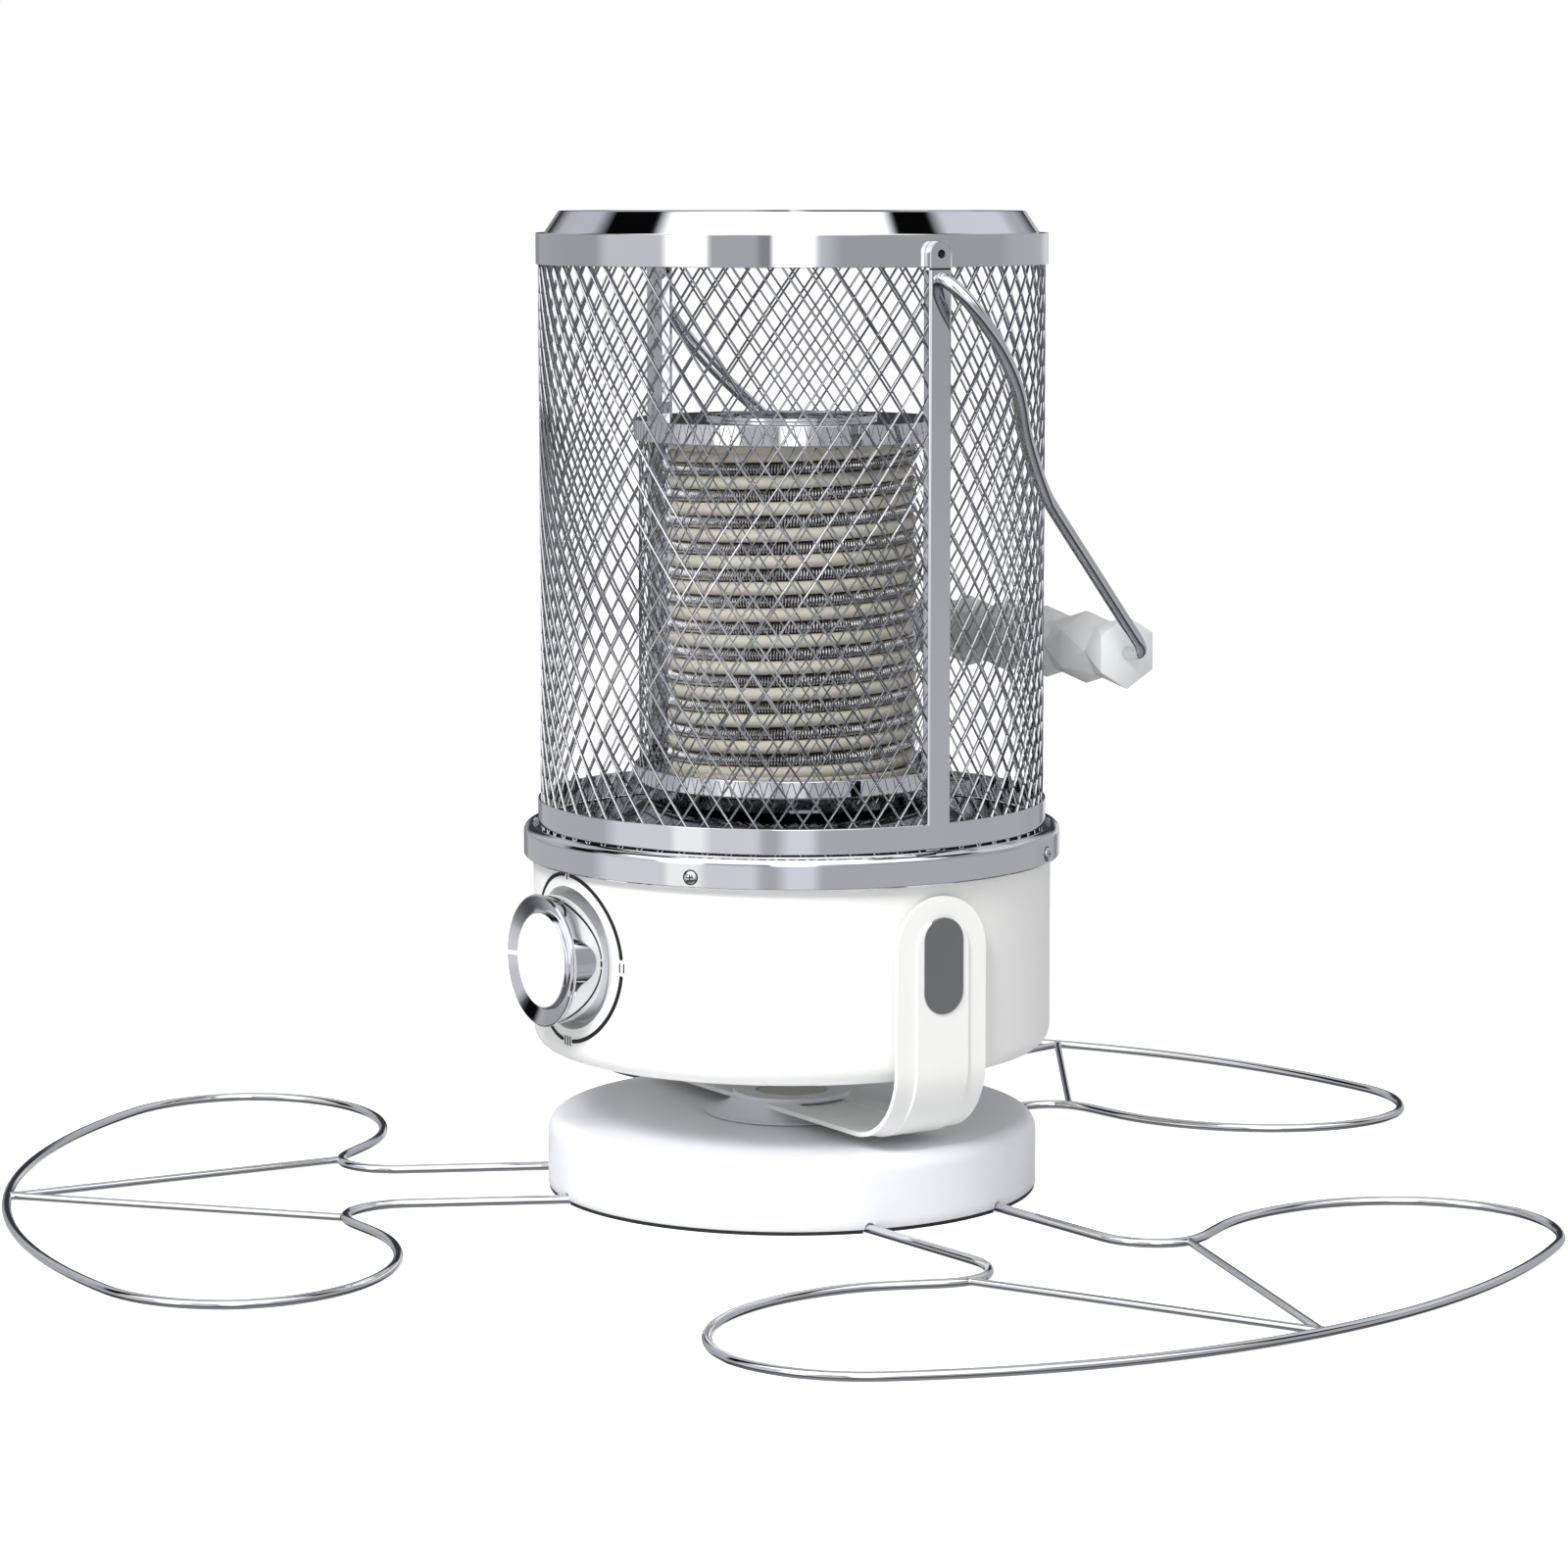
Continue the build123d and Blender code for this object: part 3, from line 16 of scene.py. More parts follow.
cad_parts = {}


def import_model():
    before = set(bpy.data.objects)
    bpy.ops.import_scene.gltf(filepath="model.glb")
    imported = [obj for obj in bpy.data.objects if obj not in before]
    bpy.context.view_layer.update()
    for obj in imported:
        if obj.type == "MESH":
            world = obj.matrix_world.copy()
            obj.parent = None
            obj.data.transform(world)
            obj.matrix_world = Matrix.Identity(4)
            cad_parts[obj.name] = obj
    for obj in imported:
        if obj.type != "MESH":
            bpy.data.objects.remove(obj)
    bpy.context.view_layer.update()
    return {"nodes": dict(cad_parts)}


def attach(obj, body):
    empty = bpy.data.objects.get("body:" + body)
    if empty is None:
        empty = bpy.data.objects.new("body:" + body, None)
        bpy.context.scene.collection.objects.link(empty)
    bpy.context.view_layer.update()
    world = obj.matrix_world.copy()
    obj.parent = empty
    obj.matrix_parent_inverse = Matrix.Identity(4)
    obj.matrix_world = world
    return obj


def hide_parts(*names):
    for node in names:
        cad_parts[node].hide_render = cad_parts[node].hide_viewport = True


MM = 0.001

# Points nearer to each other than this, in millimetres, are one point of a mesh.
SAME_POINT = 0.0005

# From this half angle, in radians, a corner counts as straight and is rounded by its radius alone.
STRAIGHT = 1.57

# A rounded corner takes at most this share of each side, and its outermost points lie this much further out.
SIDE_SHARE = 0.4
FLAT_LEAD = 1.2

# The sum of the two noises of a finish lies between these values almost everywhere.
SMUDGE_LOW = 0.6
SMUDGE_HIGH = 1.4

log = logging.getLogger("heater")


class Body(Enum):
    """CAD bodies that the pieces ride on."""

    BASE = "base"
    FOOT_1 = "foot_1"
    FOOT_2 = "foot_2"
    FOOT_3 = "foot_3"
    YOKE = "yoke"
    HEAD = "head"
    KNOB = "knob"
    BAIL = "bail"
    GRIP = "grip"


class Slot(Enum):
    """Material slots of the record."""

    WHITE_ENAMEL = "white_enamel"
    BASE_ENAMEL = "base_enamel"
    DIAL_PLASTIC = "dial_plastic"
    KNOB_WHITE = "knob_white"
    PRINT_BLACK = "print_black"
    CHROME = "chrome"
    FOOT_WIRE = "foot_wire"
    REFLECTOR_ALUMINIUM = "reflector_aluminium"
    CERAMIC = "ceramic"
    NICHROME = "nichrome"
    ZINC_STEEL = "zinc_steel"
    COVER_GREY = "cover_grey"
    CAP_BEIGE = "cap_beige"
    GRIP_PLASTIC = "grip_plastic"
    BLACK_RUBBER = "black_rubber"
    BALLAST_IRON = "ballast_iron"
    SLIP_NYLON = "slip_nylon"
    SWITCH_BLACK = "switch_black"


class Relief(Enum):
    """How a surface was made, which decides the pattern of its fine relief."""

    SPRAYED = "sprayed"
    MOULDED = "moulded"
    POLISHED = "polished"
    PRESSED = "pressed"
    FIRED = "fired"
    DRAWN = "drawn"
    SPANGLED = "spangled"
    CAST = "cast"


def linear(code: str) -> tuple[float, float, float, float]:
    """Turn an sRGB hex colour to linear light.

    Args:
        code: Colour as six hex digits after a hash sign.

    Returns:
        Red, green and blue in linear light, and an alpha of one.
    """
    channels = []
    for start in (1, 3, 5):
        value = int(code[start:start + 2], 16) / 255
        channels.append(value / 12.92 if value <= 0.04045 else ((value + 0.055) / 1.055) ** 2.4)
    return channels[0], channels[1], channels[2], 1.0


def add_node(tree: bpy.types.NodeTree, kind: str, settings: dict | None = None,
             links: dict | None = None) -> bpy.types.Node:
    """Add a shader node with its settings and links.

    Args:
        tree: Node tree to add to.
        kind: Blender's name of the node type.
        settings: Values by input name or number, or by the node's own property name.
        links: Output sockets by the input that each one feeds.

    Returns:
        The new node.
    """
    node = tree.nodes.new(kind)
    for name, value in (settings or {}).items():
        if isinstance(name, int) or name in node.inputs:
            node.inputs[name].default_value = value
        else:
            setattr(node, name, value)
    for name, socket in (links or {}).items():
        tree.links.new(socket, node.inputs[name])
    return node


@dataclass(frozen=True)
class Finish:
    """Surface of one real material, as the eye reads it.

    colour and worn are the surface's two tones, and patch is the size of the slow change between them.
    grain and depth are the size and height of its fine relief. scorch is painted shade: the dark tone given
    to what lies nearer to the heater's axis than groove_shade_radius, deep in the grooves, and
    groove_shade_fade is how far it fades.
    """

    name: str
    relief: Relief
    colour: str
    worn: str
    roughness: float
    roughness_spread: float
    grain: float
    depth: float
    patch: float = 45.0
    metallic: float = 0.0
    ior: float | None = None
    coat: float = 0.0
    subsurface: float = 0.0
    glow_through: float = 0.0
    groove_shade: str = ""
    groove_shade_radius: float = 0.0
    groove_shade_fade: float = 0.6

    def pattern(self, tree: bpy.types.NodeTree, place: bpy.types.NodeSocket) -> bpy.types.NodeSocket:
        """Add the texture of the fine relief.

        Args:
            tree: Node tree of the material.
            place: Socket with the object's own coordinates.

        Returns:
            Socket with the relief's height, from zero to one.
        """
        scale = 1 / (self.grain * MM)
        if self.relief is Relief.SPANGLED:
            cells = add_node(tree, "ShaderNodeTexVoronoi", {"feature": "F1", "Scale": scale},
                             {"Vector": place})
            tones = add_node(tree, "ShaderNodeSeparateColor", {}, {"Color": cells.outputs["Color"]})
            return tones.outputs["Red"]
        if self.relief is Relief.DRAWN:
            stretched = add_node(tree, "ShaderNodeMapping", {"Scale": (1.0, 1.0, 0.12)}, {"Vector": place})
            fine = add_node(tree, "ShaderNodeTexNoise", {"Scale": scale, "Detail": 2.0},
                            {"Vector": stretched.outputs["Vector"]})
            return fine.outputs["Fac"]
        detail = {Relief.SPRAYED: 1.0, Relief.MOULDED: 4.0, Relief.POLISHED: 3.0, Relief.PRESSED: 1.0,
                  Relief.FIRED: 6.0, Relief.CAST: 8.0}[self.relief]
        noise = add_node(tree, "ShaderNodeTexNoise", {"Scale": scale, "Detail": detail, "Roughness": 0.55},
                         {"Vector": place})
        return noise.outputs["Fac"]

    def paint_groove_shade(self, tree: bpy.types.NodeTree, place: bpy.types.NodeSocket,
              unshaded: bpy.types.NodeSocket) -> bpy.types.Node:
        """Paint shade on what lies deep in the grooves.

        Args:
            tree: Node tree of the material.
            place: Socket with the object's own coordinates, whose origin is on the heater's axis.
            unshaded: Socket with the colour of the surface outside the grooves.

        Returns:
            Mix node with the colour of both.
        """
        level = add_node(tree, "ShaderNodeVectorMath", {"operation": "MULTIPLY", 1: (1.0, 1.0, 0.0)},
                         {0: place})
        reach = add_node(tree, "ShaderNodeVectorMath", {"operation": "LENGTH"}, {0: level.outputs["Vector"]})
        share = add_node(tree, "ShaderNodeMapRange", {
            "From Min": (self.groove_shade_radius - self.groove_shade_fade) * MM,
            "From Max": (self.groove_shade_radius + self.groove_shade_fade) * MM}, {"Value": reach.outputs["Value"]})
        return add_node(tree, "ShaderNodeMix", {"data_type": "RGBA", 6: linear(self.groove_shade)},
                        {"Factor": share.outputs["Result"], 7: unshaded})

    def material(self) -> bpy.types.Material:
        """Build the material once, and hand the same one back afterwards.

        Returns:
            The finish's material.
        """
        made = bpy.data.materials.get(self.name)
        if made:
            return made
        made = bpy.data.materials.new(self.name)
        made.use_nodes = True
        tree = made.node_tree
        shader = tree.nodes["Principled BSDF"]
        place = add_node(tree, "ShaderNodeTexCoord").outputs["Object"]
        patches = add_node(tree, "ShaderNodeTexNoise", {"Scale": 1 / (self.patch * MM), "Detail": 3.0},
                           {"Vector": place}).outputs["Fac"]
        height = self.pattern(tree, place)
        tones = add_node(tree, "ShaderNodeMix", {
            "data_type": "RGBA", 6: linear(self.colour), 7: linear(self.worn)}, {"Factor": patches})
        # Painted shade: the colour turns almost black nearer the axis than the groove floor's radius.
        if self.groove_shade:
            tones = self.paint_groove_shade(tree, place, tones.outputs[2])
        smudge = add_node(tree, "ShaderNodeMath", {"operation": "ADD"}, {0: patches, 1: height})
        rough = add_node(tree, "ShaderNodeMapRange", {
            "From Min": SMUDGE_LOW, "From Max": SMUDGE_HIGH,
            "To Min": max(0.02, self.roughness - self.roughness_spread),
            "To Max": self.roughness + self.roughness_spread}, {"Value": smudge.outputs["Value"]})
        bump = add_node(tree, "ShaderNodeBump", {"Strength": 1.0, "Distance": self.depth * MM},
                        {"Height": height})
        tree.links.new(tones.outputs[2], shader.inputs["Base Color"])
        tree.links.new(rough.outputs["Result"], shader.inputs["Roughness"])
        tree.links.new(bump.outputs["Normal"], shader.inputs["Normal"])
        shader.inputs["Metallic"].default_value = self.metallic
        if self.ior:
            shader.inputs["IOR"].default_value = self.ior
        shader.inputs["Coat Weight"].default_value = self.coat
        if self.subsurface:
            shader.inputs["Subsurface Weight"].default_value = self.glow_through
            shader.inputs["Subsurface Scale"].default_value = self.subsurface * MM
            shader.inputs["Subsurface Radius"].default_value = (1.0, 0.9, 0.8)
        return made


FINISHES = {
    # Polyester powder coat on pressed steel: warm white and satin. Its orange peel is drawn 6 mm across,
    # coarser than the real 1 to 2 mm, so that it shows.
    Slot.WHITE_ENAMEL: Finish(
        "powder_coated_steel_warm_white", Relief.SPRAYED, "#f8f9f7", "#f5f6f4", 0.36, 0.05, 6.0, 0.006,
        ior=1.5),
    # The base cover's coat is a cooler white, a little glossier, with its orange peel drawn 8 mm across.
    Slot.BASE_ENAMEL: Finish(
        "powder_coated_steel_cool_white", Relief.SPRAYED, "#f1f4f9", "#eef1f6", 0.34, 0.05, 8.0, 0.004,
        ior=1.5),
    # ABS moulded in a spark-eroded tool: soft white with an even grain, drawn at 0.9 mm where the real one
    # has 0.1 mm, and a little light passes into it.
    Slot.DIAL_PLASTIC: Finish(
        "moulded_abs_white", Relief.MOULDED, "#f4f6f5", "#f0f2f1", 0.38, 0.06, 0.9, 0.01, ior=1.53,
        subsurface=2.5, glow_through=0.4),
    # ABS from a polished tool: brighter and glossier, and nearly even.
    Slot.KNOB_WHITE: Finish(
        "gloss_moulded_abs_white", Relief.MOULDED, "#fdfdfd", "#fafafb", 0.3, 0.04, 2.0, 0.004, ior=1.53),
    # Screen-printed ink, matt and slightly open at its edges. The same black paints the shade in slits,
    # holes, recesses and the gap under the guard's lower ring.
    Slot.PRINT_BLACK: Finish(
        "printed_ink_and_painted_shade_black", Relief.SPRAYED, "#08090a", "#0e0f10", 0.6, 0.06, 0.6, 0.002, ior=1.5,
        patch=6.0),
    # Nickel and chrome plate on polished steel: almost a mirror, with a slight slow wave of the sheet.
    Slot.CHROME: Finish(
        "chrome_plated_polished_steel", Relief.POLISHED, "#dfe0e4", "#d8dade", 0.03, 0.012, 14.0, 0.004,
        patch=30.0, metallic=1.0),
    # The same plate on drawn wire, whose die lines soften the highlight. They are drawn 0.9 mm apart,
    # coarser than the real ones, which are too fine to show.
    Slot.FOOT_WIRE: Finish(
        "chrome_plated_drawn_wire", Relief.DRAWN, "#e0e1e5", "#d6d8dc", 0.035, 0.012, 0.9, 0.002, patch=20.0,
        metallic=1.0),
    # Bright rolled aluminium, pressed thin, so that it buckles gently and reflects in waves. Its colour is
    # drawn much darker than aluminium's, as painted shade for the inside of the guard.
    Slot.REFLECTOR_ALUMINIUM: Finish(
        "shade_darkened_pressed_aluminium", Relief.PRESSED, "#8d8f95", "#7c7f85", 0.05, 0.02, 36.0, 0.03, patch=40.0,
        metallic=1.0),
    # Cordierite, fired unglazed: ivory, dry, with a fine sandy tooth and slightly darker patches, and with
    # painted shade, almost black, at the bottom of the grooves where the coil lies.
    Slot.CERAMIC: Finish(
        "fired_cordierite_ivory", Relief.FIRED, "#dad3c7", "#cbc4b7", 0.5, 0.1, 1.2, 0.02, patch=14.0,
        ior=1.55, groove_shade="#25221f", groove_shade_radius=46.2),
    # Nickel chromium resistance wire, drawn, with the grey skin that its first heat leaves.
    Slot.NICHROME: Finish(
        "oxidised_nickel_chromium_wire", Relief.DRAWN, "#e6e6e7", "#cfcfd0", 0.16, 0.05, 1.0, 0.004,
        patch=9.0, metallic=1.0),
    # Zinc plate on steel: pale grey, with a faint spangle.
    Slot.ZINC_STEEL: Finish(
        "zinc_plated_steel", Relief.SPANGLED, "#c9cbce", "#b3b6ba", 0.3, 0.08, 2.0, 0.004, patch=12.0,
        metallic=1.0),
    # ABS coloured slate and stone grey: matt, with the tool's grain drawn coarser, at 0.8 mm.
    Slot.COVER_GREY: Finish(
        "moulded_abs_slate_grey", Relief.MOULDED, "#68696d", "#626367", 0.5, 0.06, 0.8, 0.012, ior=1.53),
    Slot.CAP_BEIGE: Finish(
        "moulded_abs_stone_grey", Relief.MOULDED, "#d2cfc6", "#cac7be", 0.45, 0.06, 0.8, 0.012, ior=1.53),
    # Polypropylene that lets a little light into its edges, which gives the cool milky look of the grip.
    Slot.GRIP_PLASTIC: Finish(
        "moulded_polypropylene_milky", Relief.MOULDED, "#eff3f5", "#e9eef1", 0.32, 0.05, 1.2, 0.008, ior=1.49,
        subsurface=1.5, glow_through=0.2),
    # Nitrile rubber: dull black, greying where it rubs on the floor.
    Slot.BLACK_RUBBER: Finish(
        "moulded_nitrile_rubber_black", Relief.MOULDED, "#17181a", "#222325", 0.62, 0.1, 1.0, 0.02, ior=1.52),
    # Iron cast in sand: dark, rough and grainy.
    Slot.BALLAST_IRON: Finish(
        "sand_cast_iron", Relief.CAST, "#4a4744", "#3a3836", 0.6, 0.12, 3.0, 0.12, metallic=0.9),
    # Nylon in its natural colour: a waxy yellowish white.
    Slot.SLIP_NYLON: Finish(
        "moulded_nylon_natural", Relief.MOULDED, "#e8e6dc", "#dedcd1", 0.4, 0.06, 1.0, 0.008, ior=1.53),
    # Phenolic resin: a hard brownish black with a dull shine.
    Slot.SWITCH_BLACK: Finish(
        "moulded_phenolic_black", Relief.MOULDED, "#202123", "#2a2b2d", 0.45, 0.08, 1.0, 0.012, ior=1.6),
}


# The guard's expanded sheet is plated after it is cut, and its thin strands take a slightly duller plate.
STRAND = Finish(
    "nickel_plated_expanded_steel", Relief.DRAWN, "#cccdd1", "#bcbdc1", 0.05, 0.02, 0.9, 0.002, patch=12.0,
    metallic=1.0)

# The sleeve round the core is the same sheet, drawn darker and duller.
DARK_STRAND = Finish(
    "dark_dull_expanded_steel", Relief.DRAWN, "#a2a4a8", "#8c8d91", 0.22, 0.06, 0.9, 0.002, patch=20.0,
    metallic=1.0)


def on_circle(radius: float, degrees: float, height: float) -> Vector:
    """Point on a level circle about the heater's axis.

    Args:
        radius: Circle's radius.
        degrees: Direction from +X.
        height: Height above the floor.

    Returns:
        The point, in millimetres.
    """
    turn = math.radians(degrees)
    return Vector((radius * math.cos(turn), radius * math.sin(turn), height))


def rounded(corners: list[tuple[float, float]], radius: float, steps: int = 4) -> list[Vector]:
    """Round the corners of a closed flat outline.

    Args:
        corners: Corner points in order.
        radius: Radius of each corner, made smaller where a side is short.
        steps: Pieces that each corner's arc is cut into.

    Returns:
        Points of the rounded outline, the same number for each corner. The two outermost points of each
        corner lie on its straight sides, so that these shade flat.
    """
    outline = []
    for index, corner in enumerate(corners):
        here = Vector(corner)
        back = Vector(corners[index - 1]) - here
        ahead = Vector(corners[(index + 1) % len(corners)]) - here
        half = max(back.angle(ahead, math.pi) / 2, 0.05)
        wanted = radius / math.tan(half) if half < STRAIGHT else radius
        cut = min(wanted, back.length * SIDE_SHARE, ahead.length * SIDE_SHARE)
        back.normalize()
        ahead.normalize()
        outline.append(here + back * cut * FLAT_LEAD)
        for step in range(steps + 1):
            share = step / steps
            start = here + back * cut * (1 - share)
            end = here + ahead * cut * share
            outline.append(start.lerp(end, share))
        outline.append(here + ahead * cut * FLAT_LEAD)
    return outline


def ring_section(inner: float, outer: float, low: float, high: float) -> list[tuple[float, float]]:
    """Section of a plain ring, as radius and height."""
    return [(inner, low), (outer, low), (outer, high), (inner, high)]


def smooth(known: list[Vector], stops: int) -> list[Vector]:
    """Run a smooth open curve through evenly spread flat points.

    Args:
        known: Points that the curve passes through.
        stops: Pieces between one known point and the next.

    Returns:
        Points along the curve, its two ends included.
    """
    extended = [2 * known[0] - known[1]] + known + [2 * known[-1] - known[-2]]
    path = []
    for index in range(1, len(extended) - 2):
        before, start, end, after = extended[index - 1:index + 3]
        for stop in range(stops):
            share = stop / stops
            path.append(0.5 * (2 * start + (end - before) * share
                               + (2 * before - 5 * start + 4 * end - after) * share ** 2
                               + (3 * start - before - 3 * end + after) * share ** 3))
    return path + [known[-1]]


class Shape:
    """Mesh under construction, in millimetres of the frame."""

    def __init__(self) -> None:
        """Start with no points and no faces."""
        self.points: list[Vector] = []
        self.faces: list[tuple[int, ...]] = []

    def grid(self, rows: list[list[Vector]], closed_rows: bool, closed_columns: bool) -> None:
        """Join rows of points with four-sided faces.

        Args:
            rows: Rows of points, all of one length.
            closed_rows: Whether the last row joins the first.
            closed_columns: Whether each row's last point joins its first.
        """
        first = len(self.points)
        across = len(rows[0])
        for row in rows:
            self.points.extend(row)
        for row in range(len(rows) if closed_rows else len(rows) - 1):
            below = first + row * across
            above = first + (row + 1) % len(rows) * across
            for column in range(across if closed_columns else across - 1):
                following = (column + 1) % across
                self.faces.append((below + column, below + following, above + following, above + column))

    def lathe(self, outline: list, steps: int, place: Matrix = Matrix.Identity(4)) -> None:
        """Spin a closed outline about Z.

        Args:
            outline: Points of radius and height, as pairs or flat vectors.
            steps: Pieces that the turn is cut into.
            place: Where the spun form goes, for an axis other than the heater's own.
        """
        rows = []
        for step in range(steps):
            turn = 2 * math.pi * step / steps
            rows.append([place @ Vector((radius * math.cos(turn), radius * math.sin(turn), height))
                         for radius, height in outline])
        self.grid(rows, True, True)

    def tube(self, path: list[Vector], radius: float, sides: int, closed: bool = False) -> None:
        """Run a round wire along a path.

        Args:
            path: Points of the wire's middle.
            radius: Wire's radius.
            sides: Sides of its section.
            closed: Whether the wire's end joins its start.
        """
        count = len(path)
        up = Vector((0, 0, 1))
        rows = []
        normal = None
        for index, point in enumerate(path):
            before = path[index - 1] if index or closed else point
            after = path[(index + 1) % count] if index < count - 1 or closed else point
            way = (after - before).normalized()
            if normal is None:
                normal = way.cross(up if abs(way.z) < 0.9 else Vector((1, 0, 0))).normalized()
            normal = (normal - way * normal.dot(way)).normalized()
            side = way.cross(normal)
            rows.append([point + (normal * math.cos(turn) + side * math.sin(turn)) * radius
                         for turn in (2 * math.pi * step / sides for step in range(sides))])
        first = len(self.points)
        self.grid(rows, closed, True)
        if not closed:
            self.faces.append(tuple(range(first, first + sides)))
            self.faces.append(tuple(range(len(self.points) - 1, len(self.points) - sides - 1, -1)))

    def prism(self, outline: list[Vector], way: Vector) -> None:
        """Push a closed outline straight out to a solid.

        Args:
            outline: Points round one end.
            way: From that end to the other.
        """
        first = len(self.points)
        count = len(outline)
        self.grid([outline, [point + way for point in outline]], False, True)
        self.faces.append(tuple(range(first, first + count)))
        self.faces.append(tuple(range(first + 2 * count - 1, first + count - 1, -1)))

    def bead(self, centre: Vector, radius: float, flat: float) -> None:
        """Add a weld bead, a squashed ball of seven rings.

        Args:
            centre: Middle of the bead.
            radius: Its radius across.
            flat: Its height as a share of its width.
        """
        rings = []
        for level in range(7):
            lean = math.pi * (level / 6 - 0.5)
            rings.append([centre + Vector((radius * math.cos(lean) * math.cos(turn),
                                           radius * math.cos(lean) * math.sin(turn),
                                           radius * flat * math.sin(lean)))
                          for turn in (2 * math.pi * step / 12 for step in range(12))])
        self.grid(rings, False, True)

    def piece(self, name: str, slot: Slot, body: Body, replaces: tuple[str, ...] = (),
              crease: float = 35.0, finish: Finish | None = None) -> bpy.types.Object:
        """Turn the points and faces to a dressed piece that rides on a body.

        Args:
            name: Piece's name.
            slot: Material slot that it takes its finish from.
            body: CAD body that it rides on.
            replaces: CAD nodes that it stands for.
            crease: Angle in degrees above which an edge stays sharp.
            finish: Finish of its own, where it looks different from the rest of its slot.

        Returns:
            The new object.
        """
        mesh = bpy.data.meshes.new(name)
        mesh.from_pydata([point * MM for point in self.points], [], self.faces)
        tidy = bmesh.new()
        tidy.from_mesh(mesh)
        bmesh.ops.remove_doubles(tidy, verts=tidy.verts, dist=SAME_POINT * MM)
        bmesh.ops.recalc_face_normals(tidy, faces=tidy.faces)
        tidy.to_mesh(mesh)
        tidy.free()
        mesh.shade_smooth()
        mesh.set_sharp_from_angle(angle=math.radians(crease))
        mesh.materials.append((finish or FINISHES[slot]).material())
        thing = bpy.data.objects.new(name, mesh)
        bpy.context.scene.collection.objects.link(thing)
        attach(thing, body.value)
        if replaces:
            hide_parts(*replaces)
        log.info("%s: %d faces, on %s", name, len(mesh.polygons), body.value)
        return thing


def turned(name: str, slot: Slot, section: list[tuple[float, float]], edge: float, steps: int, node: str,
           body: Body = Body.HEAD, place: Matrix = Matrix.Identity(4), corner_steps: int = 4) -> None:
    """Build a round piece that stands for one CAD node, with its edges eased.

    Args:
        name: Piece's name.
        slot: Material slot that it takes its finish from.
        section: Points of radius and height round its section.
        edge: Radius of its eased edges.
        steps: Pieces that the turn is cut into.
        node: CAD node that it stands for.
        body: CAD body that it rides on.
        place: Where it goes, for an axis other than the heater's own.
        corner_steps: Pieces that each eased edge is cut into.
    """
    shape = Shape()
    shape.lathe(rounded(section, edge, corner_steps), steps, place)
    shape.piece(name, slot, body, (node,))


